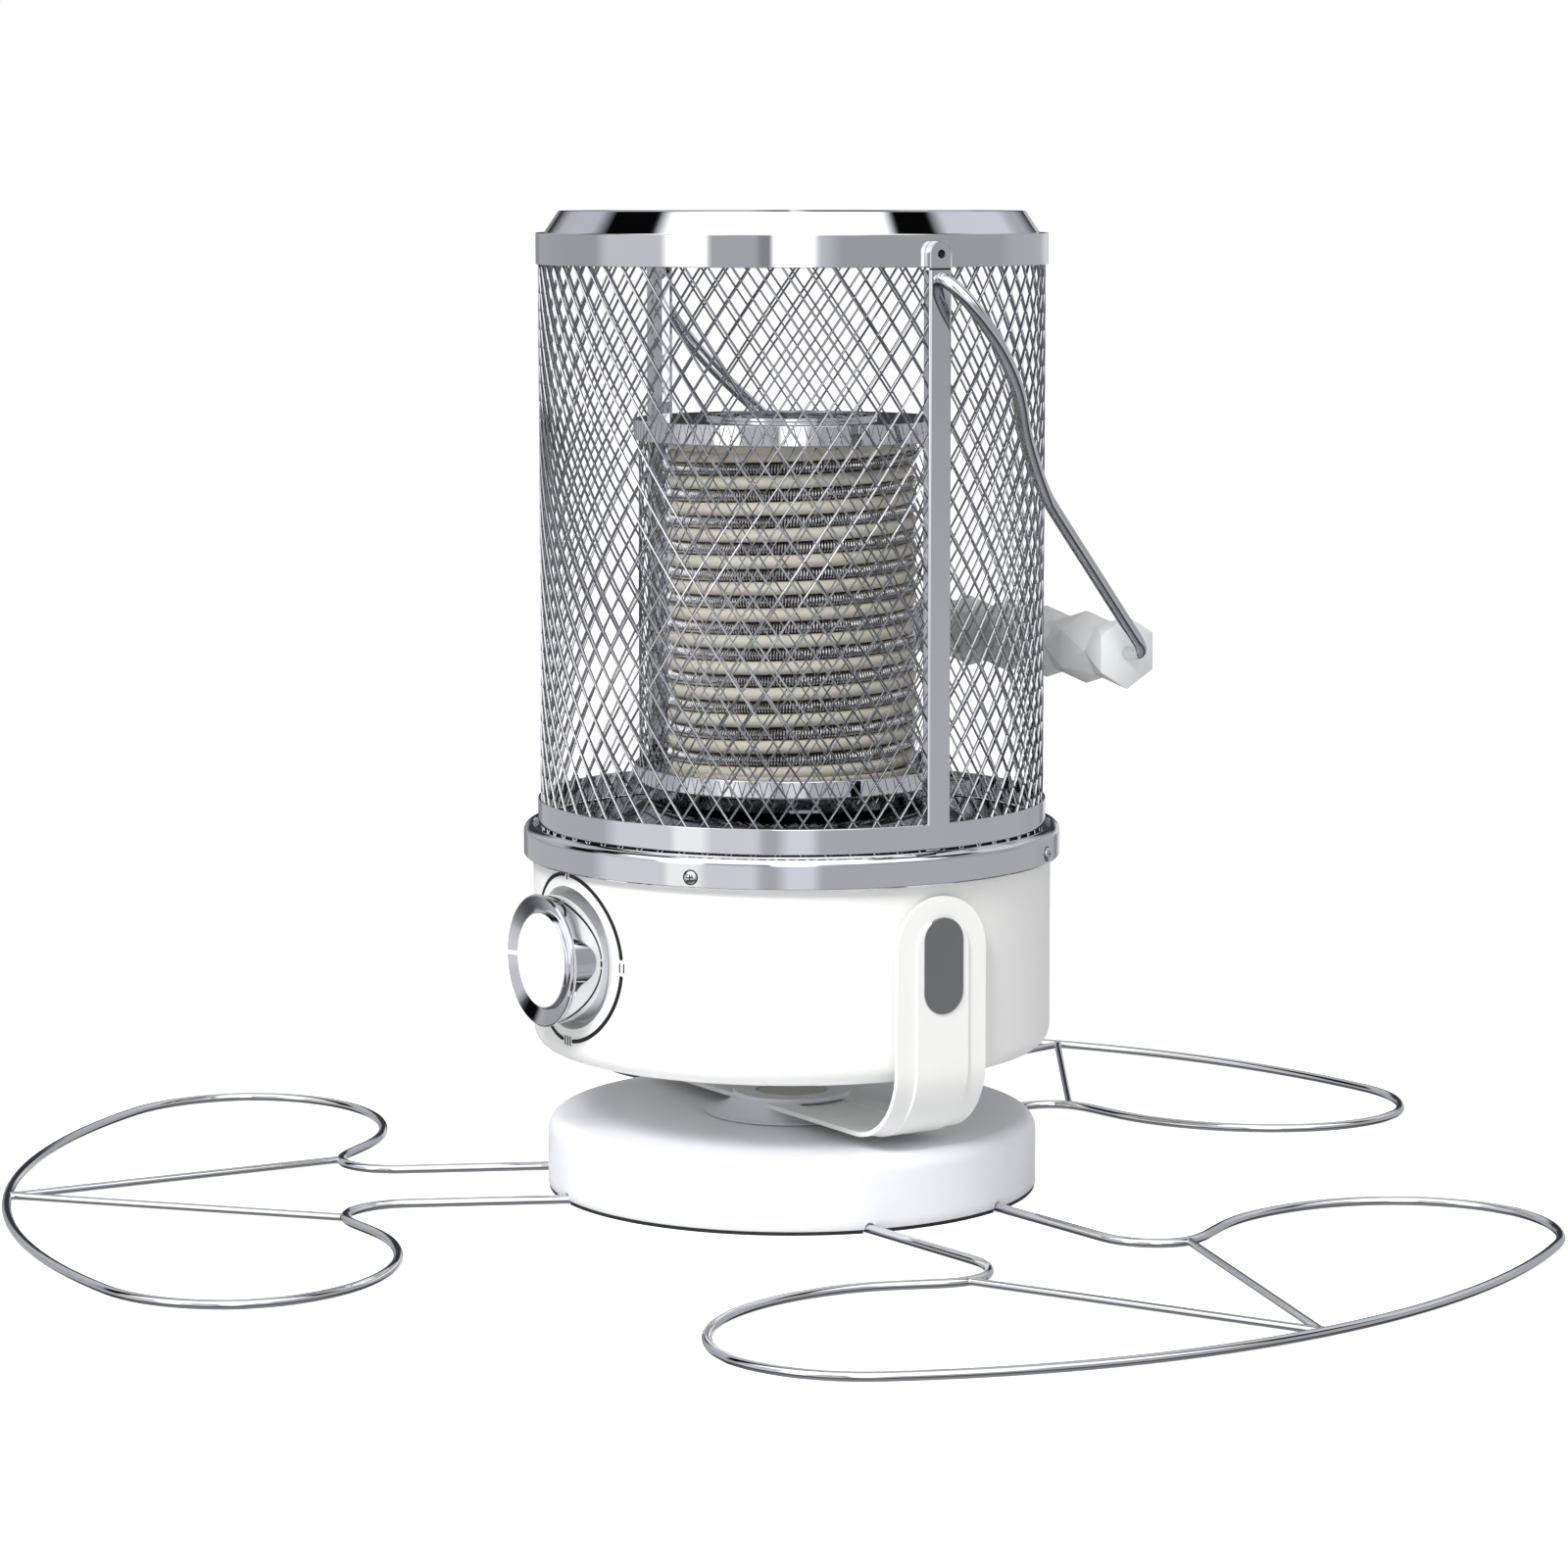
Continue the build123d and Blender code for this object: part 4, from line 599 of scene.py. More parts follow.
@dataclass
class Studio:
    """Camera at the photograph's angle, floor, one big lamp, and a studio that only metal and glass see."""

    azimuth: float = -32.5
    distance: float = 1776.2
    height: float = 390.5
    pitch: float = 5.029
    focal_pixels: float = 4626.0
    picture_pixels: float = 1600.0
    axis_column: float = 808.0
    shift_up: float = -0.121
    floor_size: float = 14000.0
    lamp_turn: float = -27.0
    lamp_lift: float = 46.0
    lamp_reach: float = 2600.0
    lamp_size: float = 1000.0
    lamp_watts: float = 58.0
    ambient: float = 0.56
    paper_lift: float = 0.72
    mirror_strength: float = 3.0

    def build(self) -> None:
        """Set up everything round the heater."""
        scene = bpy.context.scene
        scene.view_settings.view_transform = "Standard"
        self.place_camera(scene)
        self.lay_floor(scene)
        self.hang_lamp(scene)
        self.paint_world(scene)

    def place_camera(self, scene: bpy.types.Scene) -> None:
        """Place the camera and make it the scene's own.

        Args:
            scene: Scene that it is for.
        """
        data = bpy.data.cameras.new("camera")
        data.sensor_width = 36.0
        data.lens = self.focal_pixels / self.picture_pixels * data.sensor_width
        data.shift_x = (self.picture_pixels / 2 - self.axis_column) / self.picture_pixels
        data.shift_y = self.shift_up
        camera = bpy.data.objects.new("camera", data)
        camera.location = on_circle(self.distance, self.azimuth, self.height) * MM
        camera.rotation_euler = (math.radians(90 - self.pitch), 0, math.radians(self.azimuth + 90))
        scene.collection.objects.link(camera)
        scene.camera = camera

    def lay_floor(self, scene: bpy.types.Scene) -> None:
        """Lay a white floor that keeps the heater's shadow and that metal doesn't mirror.

        Args:
            scene: Scene that it is for.
        """
        half = self.floor_size / 2 * MM
        mesh = bpy.data.meshes.new("floor")
        corners = [(-half, -half, 0), (half, -half, 0), (half, half, 0), (-half, half, 0)]
        mesh.from_pydata(corners, [], [(0, 1, 2, 3)])
        paper = bpy.data.materials.new("studio_paper_white")
        paper.use_nodes = True
        tree = paper.node_tree
        tree.nodes.clear()
        sheet = add_node(tree, "ShaderNodeBsdfDiffuse", {"Color": linear("#e0e0e0")})
        lift = add_node(tree, "ShaderNodeEmission", {"Color": linear("#ffffff"), "Strength": self.paper_lift})
        seen = add_node(tree, "ShaderNodeAddShader", {},
                        {0: sheet.outputs["BSDF"], 1: lift.outputs["Emission"]})
        path = add_node(tree, "ShaderNodeLightPath")
        either = add_node(tree, "ShaderNodeMixShader", {}, {
            0: path.outputs["Is Camera Ray"], 1: sheet.outputs["BSDF"], 2: seen.outputs["Shader"]})
        add_node(tree, "ShaderNodeOutputMaterial", {}, {"Surface": either.outputs["Shader"]})
        mesh.materials.append(paper)
        floor = bpy.data.objects.new("floor", mesh)
        floor.visible_glossy = False
        scene.collection.objects.link(floor)

    def hang_lamp(self, scene: bpy.types.Scene) -> None:
        """Hang the soft key lamp up and to the left of the camera.

        Args:
            scene: Scene that it is for.
        """
        data = bpy.data.lights.new("key_lamp", "AREA")
        data.shape = "DISK"
        data.size = self.lamp_size * MM
        data.energy = self.lamp_watts
        lamp = bpy.data.objects.new("key_lamp", data)
        lift = math.radians(self.lamp_lift)
        place = on_circle(self.lamp_reach * math.cos(lift), self.azimuth + self.lamp_turn,
                          self.lamp_reach * math.sin(lift))
        lamp.location = place * MM
        lamp.rotation_euler = place.to_track_quat("Z", "Y").to_euler()
        lamp.visible_glossy = False
        scene.collection.objects.link(lamp)

    def share(self, code: str, strength: float = 1.0) -> tuple[float, float, float, float]:
        """Share of a colour's light, which the mirrored studio's own strength makes whole again."""
        return tuple(channel * strength / self.mirror_strength for channel in linear(code)[:3]) + (1.0,)

    def band_ramp(self, tree: bpy.types.NodeTree, turn: bpy.types.NodeSocket,
                  bands: list[tuple]) -> bpy.types.NodeSocket:
        """Add one ring of studio walls.

        Args:
            tree: World's node tree.
            turn: Socket with the direction round the studio, from zero to one, 0.5 behind the camera.
            bands: Start and end in degrees from the camera, colour, and strength where it is over one.

        Returns:
            Socket with the ring's colour.
        """
        ramp = add_node(tree, "ShaderNodeValToRGB", {}, {"Fac": turn})
        points = ramp.color_ramp.elements
        stops = []
        for start, end, code, *strength in bands:
            colour = self.share(code, *strength)
            stops += [(start / 360 + 0.5, colour), (end / 360 + 0.5, colour)]
        points[0].position, points[0].color = stops[0]
        points[1].position, points[1].color = stops[-1]
        for position, colour in stops[1:-1]:
            points.new(position).color = colour
        return ramp.outputs["Color"]

    def paint_world(self, scene: bpy.types.Scene) -> None:
        """Paint the studio: white to the camera, even to matt surfaces, and in bands to metal and glass.

        Args:
            scene: Scene that it is for.
        """
        world = bpy.data.worlds.new("studio")
        world.use_nodes = True
        scene.world = world
        tree = world.node_tree
        tree.nodes.clear()
        way = add_node(tree, "ShaderNodeSeparateXYZ", {},
                       {0: add_node(tree, "ShaderNodeTexCoord").outputs["Generated"]})
        angle = add_node(tree, "ShaderNodeMath", {"operation": "ARCTAN2"},
                         {0: way.outputs["Y"], 1: way.outputs["X"]})
        round_share = add_node(tree, "ShaderNodeMath", {
            "operation": "MULTIPLY_ADD", 1: 1 / (2 * math.pi), 2: 1.5 - self.azimuth / 360},
            {0: angle.outputs["Value"]})
        turn = add_node(tree, "ShaderNodeMath", {"operation": "FRACT"},
                        {0: round_share.outputs["Value"]}).outputs["Value"]
        low_walls = self.band_ramp(tree, turn, [
            (-180, -172, "#3c3d41"), (-168, -160, "#93949a"), (-154, -94, "#bebfc4"),
            (-84, -56, "#e9eaee"), (-53, -41, "#ffffff", 1.15), (-36, -16, "#e6e8ec"),
            (-12, -7, "#bcbdc1"), (-1, 8, "#eceef3"), (13, 124, "#bdbec2"),
            (134, 150, "#b4b5b9"), (154, 158, "#96979b"), (165, 170, "#e4e5e9"),
            (175, 180, "#3c3d41")])
        walls = self.band_ramp(tree, turn, [
            (-180, -174, "#3c3d41"), (-170, -160, "#96989d"), (-154, -98, "#b0b0b4"),
            (-90, -60, "#d8dade"), (-54, -40, "#ffffff", 2.1), (-36, -16, "#b9babe"),
            (-13.5, -9.5, "#98989c"), (-7, 8, "#ffffff", 2.1), (12, 14, "#d2d5da"),
            (22, 105, "#b0b0b4"), (118, 148, "#bdbec2"), (158, 168, "#dcdde1"),
            (174, 180, "#3c3d41")])
        mid_walls = self.band_ramp(tree, turn, [
            (-180, -160, "#3c3d41"), (-148, -116, "#c4c5ca"), (-110, -96, "#0c0c0d"),
            (-90, -60, "#c8c9ce"),
            (-52, -34, "#ffffff", 2.0), (-28, -12, "#d4d6db"), (-8, 30, "#ffffff", 2.0),
            (36, 112, "#b0b1b6"), (122, 150, "#b8b9be"), (162, 180, "#3c3d41")])
        high_walls = self.band_ramp(tree, turn, [
            (-180, -126, "#ccced4"), (-117, -93, "#080809"), (-85, 68, "#ffffff", 1.6),
            (75, 94, "#080809"), (102, 135, "#e4e7ec"), (145, 180, "#c6c9cf")])
        upper = walls
        for low, high, ring in ((-0.04, -0.1, low_walls), (0.1, 0.16, mid_walls), (0.34, 0.44, high_walls)):
            reach = add_node(tree, "ShaderNodeMapRange", {"From Min": low, "From Max": high},
                             {"Value": way.outputs["Z"]})
            upper = add_node(tree, "ShaderNodeMix", {"data_type": "RGBA"},
                             {"Factor": reach.outputs["Result"], 6: upper, 7: ring}).outputs[2]
        ground, depth = [
            add_node(tree, "ShaderNodeMapRange", {"From Min": low, "From Max": high},
                     {"Value": way.outputs["Z"]})
            for low, high in ((-0.34, -0.46), (-0.55, -0.95))]
        below = add_node(tree, "ShaderNodeMix", {
            "data_type": "RGBA", 6: self.share("#3e3f43"), 7: self.share("#9a9ba0")},
            {"Factor": depth.outputs["Result"]})
        everything = add_node(tree, "ShaderNodeMix", {"data_type": "RGBA"},
                              {"Factor": ground.outputs["Result"], 6: upper, 7: below.outputs[2]})
        mirrored = add_node(tree, "ShaderNodeBackground", {"Strength": self.mirror_strength},
                            {"Color": everything.outputs[2]})
        even, white = [
            add_node(tree, "ShaderNodeBackground", {"Color": linear("#ffffff"), "Strength": strength})
            for strength in (self.ambient, 1.0)]
        path = add_node(tree, "ShaderNodeLightPath")
        sharp = add_node(tree, "ShaderNodeMath", {"operation": "MAXIMUM"},
                         {0: path.outputs["Is Glossy Ray"], 1: path.outputs["Is Transmission Ray"]})
        unseen = add_node(tree, "ShaderNodeMixShader", {}, {
            0: sharp.outputs["Value"], 1: even.outputs["Background"], 2: mirrored.outputs["Background"]})
        shown = add_node(tree, "ShaderNodeMixShader", {}, {
            0: path.outputs["Is Camera Ray"], 1: unseen.outputs["Shader"], 2: white.outputs["Background"]})
        add_node(tree, "ShaderNodeOutputWorld", {}, {"Surface": shown.outputs["Shader"]})


@dataclass
class Guard:
    """Round guard: two bright rings, the pressed lid, the lower rim and the two panels of diamond mesh."""

    steps: int = 288
    ring_radius: float = 100.0
    ring_sheet: float = 0.9
    ring_edge: float = 0.3
    lower_ring_low: float = 145.2
    lower_ring_high: float = 154.8
    upper_ring_low: float = 363.8
    upper_ring_high: float = 376.1
    upper_lip: float = 3.0
    mesh_radius: float = 98.4
    mesh_wire: float = 0.88
    strand_depth: float = 1.4
    mesh_low: float = 143.1
    mesh_high: float = 373.2
    cells_round: int = 66
    half_rows: int = 33
    lid_top: float = 384.6
    lid_top_radius: float = 91.0
    lid_panel_radius: float = 78.0
    lid_sink: float = 1.2
    lid_sheet: float = 1.0
    rim_radius: float = 105.74
    rim_low: float = 132.5
    rim_high: float = 144.8
    rim_ledge: float = 142.5
    rim_ledge_inner: float = 91.0
    rim_ledge_sheet: float = 1.2
    rim_wall_inner: float = 102.17
    rim_crest_inner: float = 101.6
    rim_lip: float = 1.4
    rim_round: float = 3.0
    post_face: float = 103.5
    lug_half: float = 5.0
    lug_low: float = 363.6
    lug_edge: float = 0.45
    lug_edge_lift: float = 0.2
    slit_height: float = 0.7
    slit_depth: float = 0.6
    slit_gap: float = 0.05
    screw_count: int = 4
    screw_turn: float = -53.5
    screw_height: float = 136.7
    screw_radius: float = 2.6
    screw_dome: float = 1.1
    screw_shank: float = 1.4
    screw_depth: float = 5.8
    cross_half: float = 1.3
    cross_half_width: float = 0.22
    cross_depth: float = 0.5
    shade_lift: float = 0.03
    rivet_height: float = 368.8
    rivet_face: float = 103.2
    rivet_back: float = 99.0
    rivet_radius: float = 2.2
    rivet_hole: float = 1.7
    rivet_head: float = 2.6
    rivet_head_sheet: float = 0.7
    rivet_hole_depth: float = 2.0

    def lugs(self) -> None:
        """Ease the edge of each post's round lug, and paint the shade in the slit below it with a black
        block.
        """
        edges = Shape()
        slit_shades = Shape()
        sunk = self.lug_edge * 0.8
        half = self.lug_half - sunk
        foot = self.lug_low + self.lug_edge_lift
        high = self.lug_low - self.slit_gap
        low = high - self.slit_height
        for side in (1, -1):
            face = side * (self.post_face - sunk)
            path = [Vector((face, -half, foot))]
            for step in range(19):
                lean = math.radians(10 * step)
                path.append(Vector((face, -half * math.cos(lean), self.rivet_height + half * math.sin(lean))))
            path.append(Vector((face, half, foot)))
            edges.tube(path, self.lug_edge, 10)
            # Painted shade: a black block fills the slit under the lug.
            near = side * (self.post_face - self.slit_depth)
            slit = [Vector((near, across, height)) for across, height in ring_section(-half, half, low, high)]
            slit_shades.prism(slit, Vector((-side * self.slit_depth, 0, 0)))
        edges.piece("lug_edges", Slot.CHROME, Body.HEAD)
        slit_shades.piece("post_slit_shade", Slot.PRINT_BLACK, Body.HEAD)

    def screws(self) -> None:
        """Build the rim's domed screws, with painted shade: a black cross in each cross recess and a black
        ring as the seam round each head.
        """
        heads = Shape()
        recess_shades = Shape()
        face = self.rim_radius
        top = face + self.screw_dome
        dome = [(self.screw_radius * math.cos(lean), face + self.screw_dome * math.sin(lean))
                for lean in (math.radians(15 * step) for step in range(1, 6))]
        section = [(0.05, face - self.screw_depth), (self.screw_shank, face - self.screw_depth),
                   (self.screw_shank, face), (self.screw_radius, face)] + dome + [(0.05, top)]
        # Painted shade: a black ring round each head and a black cross in each recess.
        seam_shade = ring_section(self.screw_radius - 0.1, self.screw_radius + 0.35, face - 0.1, face + 0.12)
        for index in range(self.screw_count):
            turn = Matrix.Rotation(math.radians(self.screw_turn + 360 / self.screw_count * index), 4, "Z")
            place = (turn @ Matrix.Translation((0, 0, self.screw_height))
                     @ Matrix.Rotation(math.radians(90), 4, "Y"))
            heads.lathe(section, 36, place)
            recess_shades.lathe(seam_shade, 36, place)
            for wide, tall in ((self.cross_half_width, self.cross_half),
                               (self.cross_half, self.cross_half_width)):
                outline = [place @ Vector((x, y, top - self.cross_depth))
                           for x, y in ring_section(-wide, wide, -tall, tall)]
                recess_shades.prism(outline, place.to_3x3() @ Vector((0, 0, self.cross_depth + self.shade_lift)))
        heads.piece("rim_screw_heads", Slot.CHROME, Body.HEAD, ("rim_screws",))
        recess_shades.piece("rim_screw_recess_shade", Slot.PRINT_BLACK, Body.HEAD)

    def rivets(self) -> None:
        """Build both rivets, sunk in the lugs, each with a black plug painting the shade in the hole of its
        hollow end.
        """
        hole_shades = Shape()
        rivets = Shape()
        face = self.rivet_face
        hole_floor = face - self.rivet_hole_depth
        head = self.rivet_back - self.rivet_head_sheet
        section = rounded([
            (self.rivet_hole, hole_floor), (self.rivet_hole, face), (self.rivet_radius, face),
            (self.rivet_radius, self.rivet_back), (self.rivet_head, self.rivet_back), (self.rivet_head, head),
            (0.1, head), (0.1, hole_floor)], 0.15)
        # Painted shade: a black plug in each rivet's hole.
        hole_shade = ring_section(0, self.rivet_hole + 0.05, hole_floor + 0.2, face - 0.6)
        for side in (1, -1):
            place = (Matrix.Translation((0, 0, self.rivet_height))
                     @ Matrix.Rotation(side * math.radians(90), 4, "Y"))
            rivets.lathe(section, 32, place)
            hole_shades.lathe(hole_shade, 32, place)
        rivets.piece("rivets_turned", Slot.CHROME, Body.HEAD, ("post_rivets",))
        hole_shades.piece("rivet_hole_shade", Slot.PRINT_BLACK, Body.HEAD)

    def build(self) -> None:
        """Build each piece of the guard."""
        self.rings()
        self.rivets()
        self.lugs()
        self.screws()
        self.lid()
        self.rim()
        self.panels()

    def rings(self) -> None:
        """Build both bright rings with their edges eased."""
        inner = self.ring_radius - self.ring_sheet
        turned("lower_ring_rolled", Slot.CHROME,
               ring_section(inner, self.ring_radius, self.lower_ring_low, self.lower_ring_high),
               self.ring_edge, self.steps, "lower_ring")
        top = self.upper_ring_high
        lip = self.ring_radius - self.upper_lip
        turned("upper_ring_rolled", Slot.CHROME, [
            (inner, self.upper_ring_low), (self.ring_radius, self.upper_ring_low), (self.ring_radius, top),
            (lip, top), (lip, top - self.ring_sheet), (inner, top - self.ring_sheet)],
            self.ring_edge, self.steps, "upper_ring")

    def lid(self) -> None:
        """Build the pressed lid: flange, bevel, flat border and sunk middle."""
        neck = self.ring_radius - self.upper_lip - self.ring_edge
        flange = self.upper_ring_high - self.ring_sheet - self.ring_edge / 3
        outer = self.mesh_radius + self.mesh_wire / 2
        panel = self.lid_panel_radius
        top = self.lid_top
        sheet = self.lid_sheet
        sunk = top - self.lid_sink
        turned("lid_pressed", Slot.CHROME, [
            (outer, flange - sheet), (outer, flange), (neck, flange), (neck, self.upper_ring_high),
            (self.lid_top_radius, top), (panel, top), (panel - self.lid_sink, sunk), (0, sunk),
            (0, sunk - sheet), (panel, sunk - sheet), (panel + sheet, top - sheet),
            (self.lid_top_radius - sheet / 2, top - sheet), (neck - sheet, flange),
            (neck - sheet, flange - sheet)], 0.5, self.steps, "lid")

    def rim(self) -> None:
        """Build the bright rim with its rounded shoulder and the ledge that the guard stands on."""
        ledge_under = self.rim_ledge - self.rim_ledge_sheet
        section = [(self.rim_wall_inner, self.rim_low), (self.rim_radius - 0.5, self.rim_low),
                   (self.rim_radius, self.rim_low + 0.5)]
        crest = self.rim_crest_inner + self.rim_lip / 2
        for step in range(9):
            lean = math.radians(90 / 8 * step)
            section.append((crest + (self.rim_radius - crest) * math.cos(lean),
                            self.rim_high + self.rim_round * (math.sin(lean) - 1)))
        section += [(self.rim_crest_inner, self.rim_high - self.rim_lip / 2),
                    (self.rim_crest_inner, self.rim_ledge), (self.rim_ledge_inner, self.rim_ledge),
                    (self.rim_ledge_inner, ledge_under), (self.rim_wall_inner, ledge_under)]
        turned("rim_rolled", Slot.CHROME, section, 0.3, self.steps, "chrome_rim", corner_steps=2)

    def panels(self) -> None:
        """Build both panels of diamond mesh, each strand one ribbon on edge from rim to rim."""
        half_pitch = 360 / self.cells_round / 2
        columns = self.cells_round - 2
        rise = (self.mesh_high - self.mesh_low) / self.half_rows
        for side, turn in (("back", 0.0), ("front", 180.0)):
            panel = Shape()
            for lean in (1, -1):
                starts = [(column, 0) for column in range(0, columns + 1, 2)]
                edge = 0 if lean > 0 else columns
                starts += [(edge, row) for row in range(2, self.half_rows, 2)]
                for column, row in starts:
                    path = []
                    while 0 <= column <= columns and row <= self.half_rows:
                        path.append(on_circle(self.mesh_radius - lean * 0.1, turn + half_pitch * (column + 1),
                                              self.mesh_low + rise * row))
                        column += lean
                        row += 1
                    if len(path) > 1:
                        panel.tube(path, self.mesh_wire / 2, 6)
            for point in panel.points:
                across = Vector((point.x, point.y))
                deeper = self.mesh_radius + (across.length - self.mesh_radius) * self.strand_depth
                point.xy = across.normalized() * min(deeper, self.ring_radius - self.ring_sheet)
            panel.piece("mesh_" + side, Slot.CHROME, Body.HEAD, ("guard_mesh_" + side,), 60.0, STRAND)


@dataclass
class Core:
    """Heating core: ribbed ceramic, wound coil, inner mesh, bright band and cap, and the reflector below."""

    steps: int = 192
    helix_turn: float = 147.0
    rib_pitch: float = 10.2
    groove_height: float = 169.3
    coil_path_radius: float = 46.85
    coil_radius: float = 2.25
    coil_wire: float = 0.6
    coil_pitch: float = 1.15
    coil_first_turn: float = 0.25
    coil_turns: float = 11.5
    inner_mesh_radius: float = 59.9
    inner_mesh_wire: float = 0.55
    inner_mesh_low: float = 158.0
    inner_mesh_high: float = 295.2
    inner_cells: int = 46
    inner_half_rows: int = 22
    band_radius: float = 62.0
    band_sheet: float = 1.3
    band_low: float = 161.0
    band_high: float = 168.0
    cap_low: float = 295.5
    cap_high: float = 303.6
    cap_well_radius: float = 30.0
    cap_well_floor: float = 300.6
    cap_ring_radius: float = 33.5
    cap_ring_height: float = 1.4
    cap_sheet: float = 1.2
    rod_hole: float = 3.05
    rib_path_radius: float = 46.5
    rib_radius: float = 2.6
    rib_first_turn: float = 0.25
    rib_last_turn: float = 13.0
    rib_stops: int = 48
    root_radius: float = 44.6
    bore_radius: float = 36.0
    collar_radius: float = 49.0
    collar_height: float = 3.3
    ceramic_low: float = 164.5
    ceramic_high: float = 302.4
    reflector_sheet: float = 0.8
    reflector_radius: float = 96.8
    reflector_floor: float = 145.0
    reflector_rim: float = 142.5
    reflector_foot_radius: float = 72.0
    reflector_top: float = 155.0
    reflector_top_radius: float = 57.0
    shade_ring_out: float = 0.8

    def build(self) -> None:
        """Build each piece of the core."""
        self.ceramic()
        self.coil()
        self.inner_mesh()
        self.band()
        self.cap()
        self.reflector()

    def climbing(self, radius: float, first_height: float, turns: float) -> Vector:
        """Point of a helix at a radius, a number of turns from its start at a height."""
        return on_circle(radius, self.helix_turn + 360 * turns, first_height + self.rib_pitch * turns)

    def ceramic(self) -> None:
        """Build the ceramic tube with its collars, and the round rib that climbs it."""
        bore = self.bore_radius
        collar = self.collar_radius
        low_collar = self.ceramic_low + self.collar_height
        high_collar = self.cap_low - self.collar_height
        core = Shape()
        core.lathe(rounded([
            (bore, self.ceramic_low), (collar, self.ceramic_low), (collar, low_collar),
            (self.root_radius, low_collar), (self.root_radius, high_collar), (collar, high_collar),
            (collar, self.ceramic_high), (bore, self.ceramic_high)], 0.8), self.steps)
        count = round(self.rib_stops * (self.rib_last_turn - self.rib_first_turn))
        first = self.groove_height - self.rib_pitch / 2
        core.tube([self.climbing(self.rib_path_radius, first, self.rib_first_turn + step / self.rib_stops)
                   for step in range(count + 1)], self.rib_radius, 16)
        core.piece("ceramic_ribbed", Slot.CERAMIC, Body.HEAD, ("ceramic_core",))

    def coil(self) -> None:
        """Wind the resistance wire round its own helix, which itself climbs the core's groove."""
        turn_length = math.hypot(2 * math.pi * self.coil_path_radius, self.rib_pitch)
        winds = round(turn_length * self.coil_turns / self.coil_pitch)
        stops = 8
        reach = self.coil_radius - self.coil_wire / 2
        climb = math.atan2(self.rib_pitch, 2 * math.pi * self.coil_path_radius)
        path = []
        for step in range(winds * stops + 1):
            turns = self.coil_first_turn + self.coil_turns * step / (winds * stops)
            middle = self.climbing(self.coil_path_radius, self.groove_height, turns)
            out = Vector((middle.x, middle.y, 0)).normalized()
            around = Vector((-out.y, out.x, 0))
            up = Vector((0, 0, 1)) * math.cos(climb) - around * math.sin(climb)
            wind = 2 * math.pi * step / stops
            path.append(middle + (out * math.cos(wind) + up * math.sin(wind)) * reach)
        coil = Shape()
        coil.tube(path, self.coil_wire / 2, 4)
        coil.piece("coil_wound", Slot.NICHROME, Body.HEAD, ("heating_coil",), 80.0)

    def inner_mesh(self) -> None:
        """Build the fine mesh sleeve round the core."""
        half_pitch = 360 / self.inner_cells / 2
        rise = (self.inner_mesh_high - self.inner_mesh_low) / self.inner_half_rows
        sleeve = Shape()
        for lean in (1, -1):
            for cell in range(self.inner_cells):
                path = [on_circle(self.inner_mesh_radius - lean * 0.08, half_pitch * (2 * cell + lean * row),
                                  self.inner_mesh_low + rise * row)
                        for row in range(self.inner_half_rows + 1)]
                sleeve.tube(path, self.inner_mesh_wire / 2, 5)
        sleeve.piece("core_mesh", Slot.CHROME, Body.HEAD, ("inner_mesh",), 60.0, DARK_STRAND)

    def band(self) -> None:
        """Build the bright band round the core's foot."""
        inner = self.band_radius - self.band_sheet
        turned("core_band_rolled", Slot.CHROME,
               ring_section(inner, self.band_radius, self.band_low, self.band_high), 0.5, self.steps,
               "core_band")

    def cap(self) -> None:
        """Build the turned cap with its raised ring and well."""
        sheet = self.cap_sheet
        top = self.cap_high
        ring_top = top + self.cap_ring_height
        floor = self.cap_well_floor
        outer = self.band_radius
        ring = self.cap_ring_radius
        well = self.cap_well_radius
        turned("top_cap_turned", Slot.CHROME, [
            (outer - sheet, self.cap_low), (outer, self.cap_low), (outer, top), (ring, top), (ring, ring_top),
            (well, ring_top), (well, floor), (self.rod_hole, floor), (self.rod_hole, floor - sheet),
            (well + sheet, floor - sheet), (well + sheet, ring_top - sheet), (ring - sheet, ring_top - sheet),
            (ring - sheet, top - sheet), (outer - sheet, top - sheet)], 0.4, self.steps, "top_cap")

    def reflector(self) -> None:
        """Build the thin reflector dish with soft bends, and a black ring at its edge that paints the shade
        of the gap under the lower ring.
        """
        sheet = self.reflector_sheet
        outer = self.reflector_radius
        floor = self.reflector_floor
        rim = self.reflector_rim
        top = self.reflector_top
        foot = self.reflector_foot_radius
        neck = self.reflector_top_radius
        turned("reflector_pressed", Slot.REFLECTOR_ALUMINIUM, [
            (outer, rim), (outer, floor), (foot, floor), (neck, top), (self.rod_hole, top),
            (self.rod_hole, top - sheet), (neck - sheet / 2, top - sheet), (foot - sheet / 2, floor - sheet),
            (outer - sheet, floor - sheet), (outer - sheet, rim)], 2.0, self.steps, "reflector")
        # Painted shade: a black ring just outside the dish's edge stands for the dark gap under the lower
        # ring.
        edge = Shape()
        edge.lathe(ring_section(outer + 0.02, outer + self.shade_ring_out, rim + 0.1, floor + 0.25), self.steps)
        edge.piece("reflector_edge_shade", Slot.PRINT_BLACK, Body.HEAD)


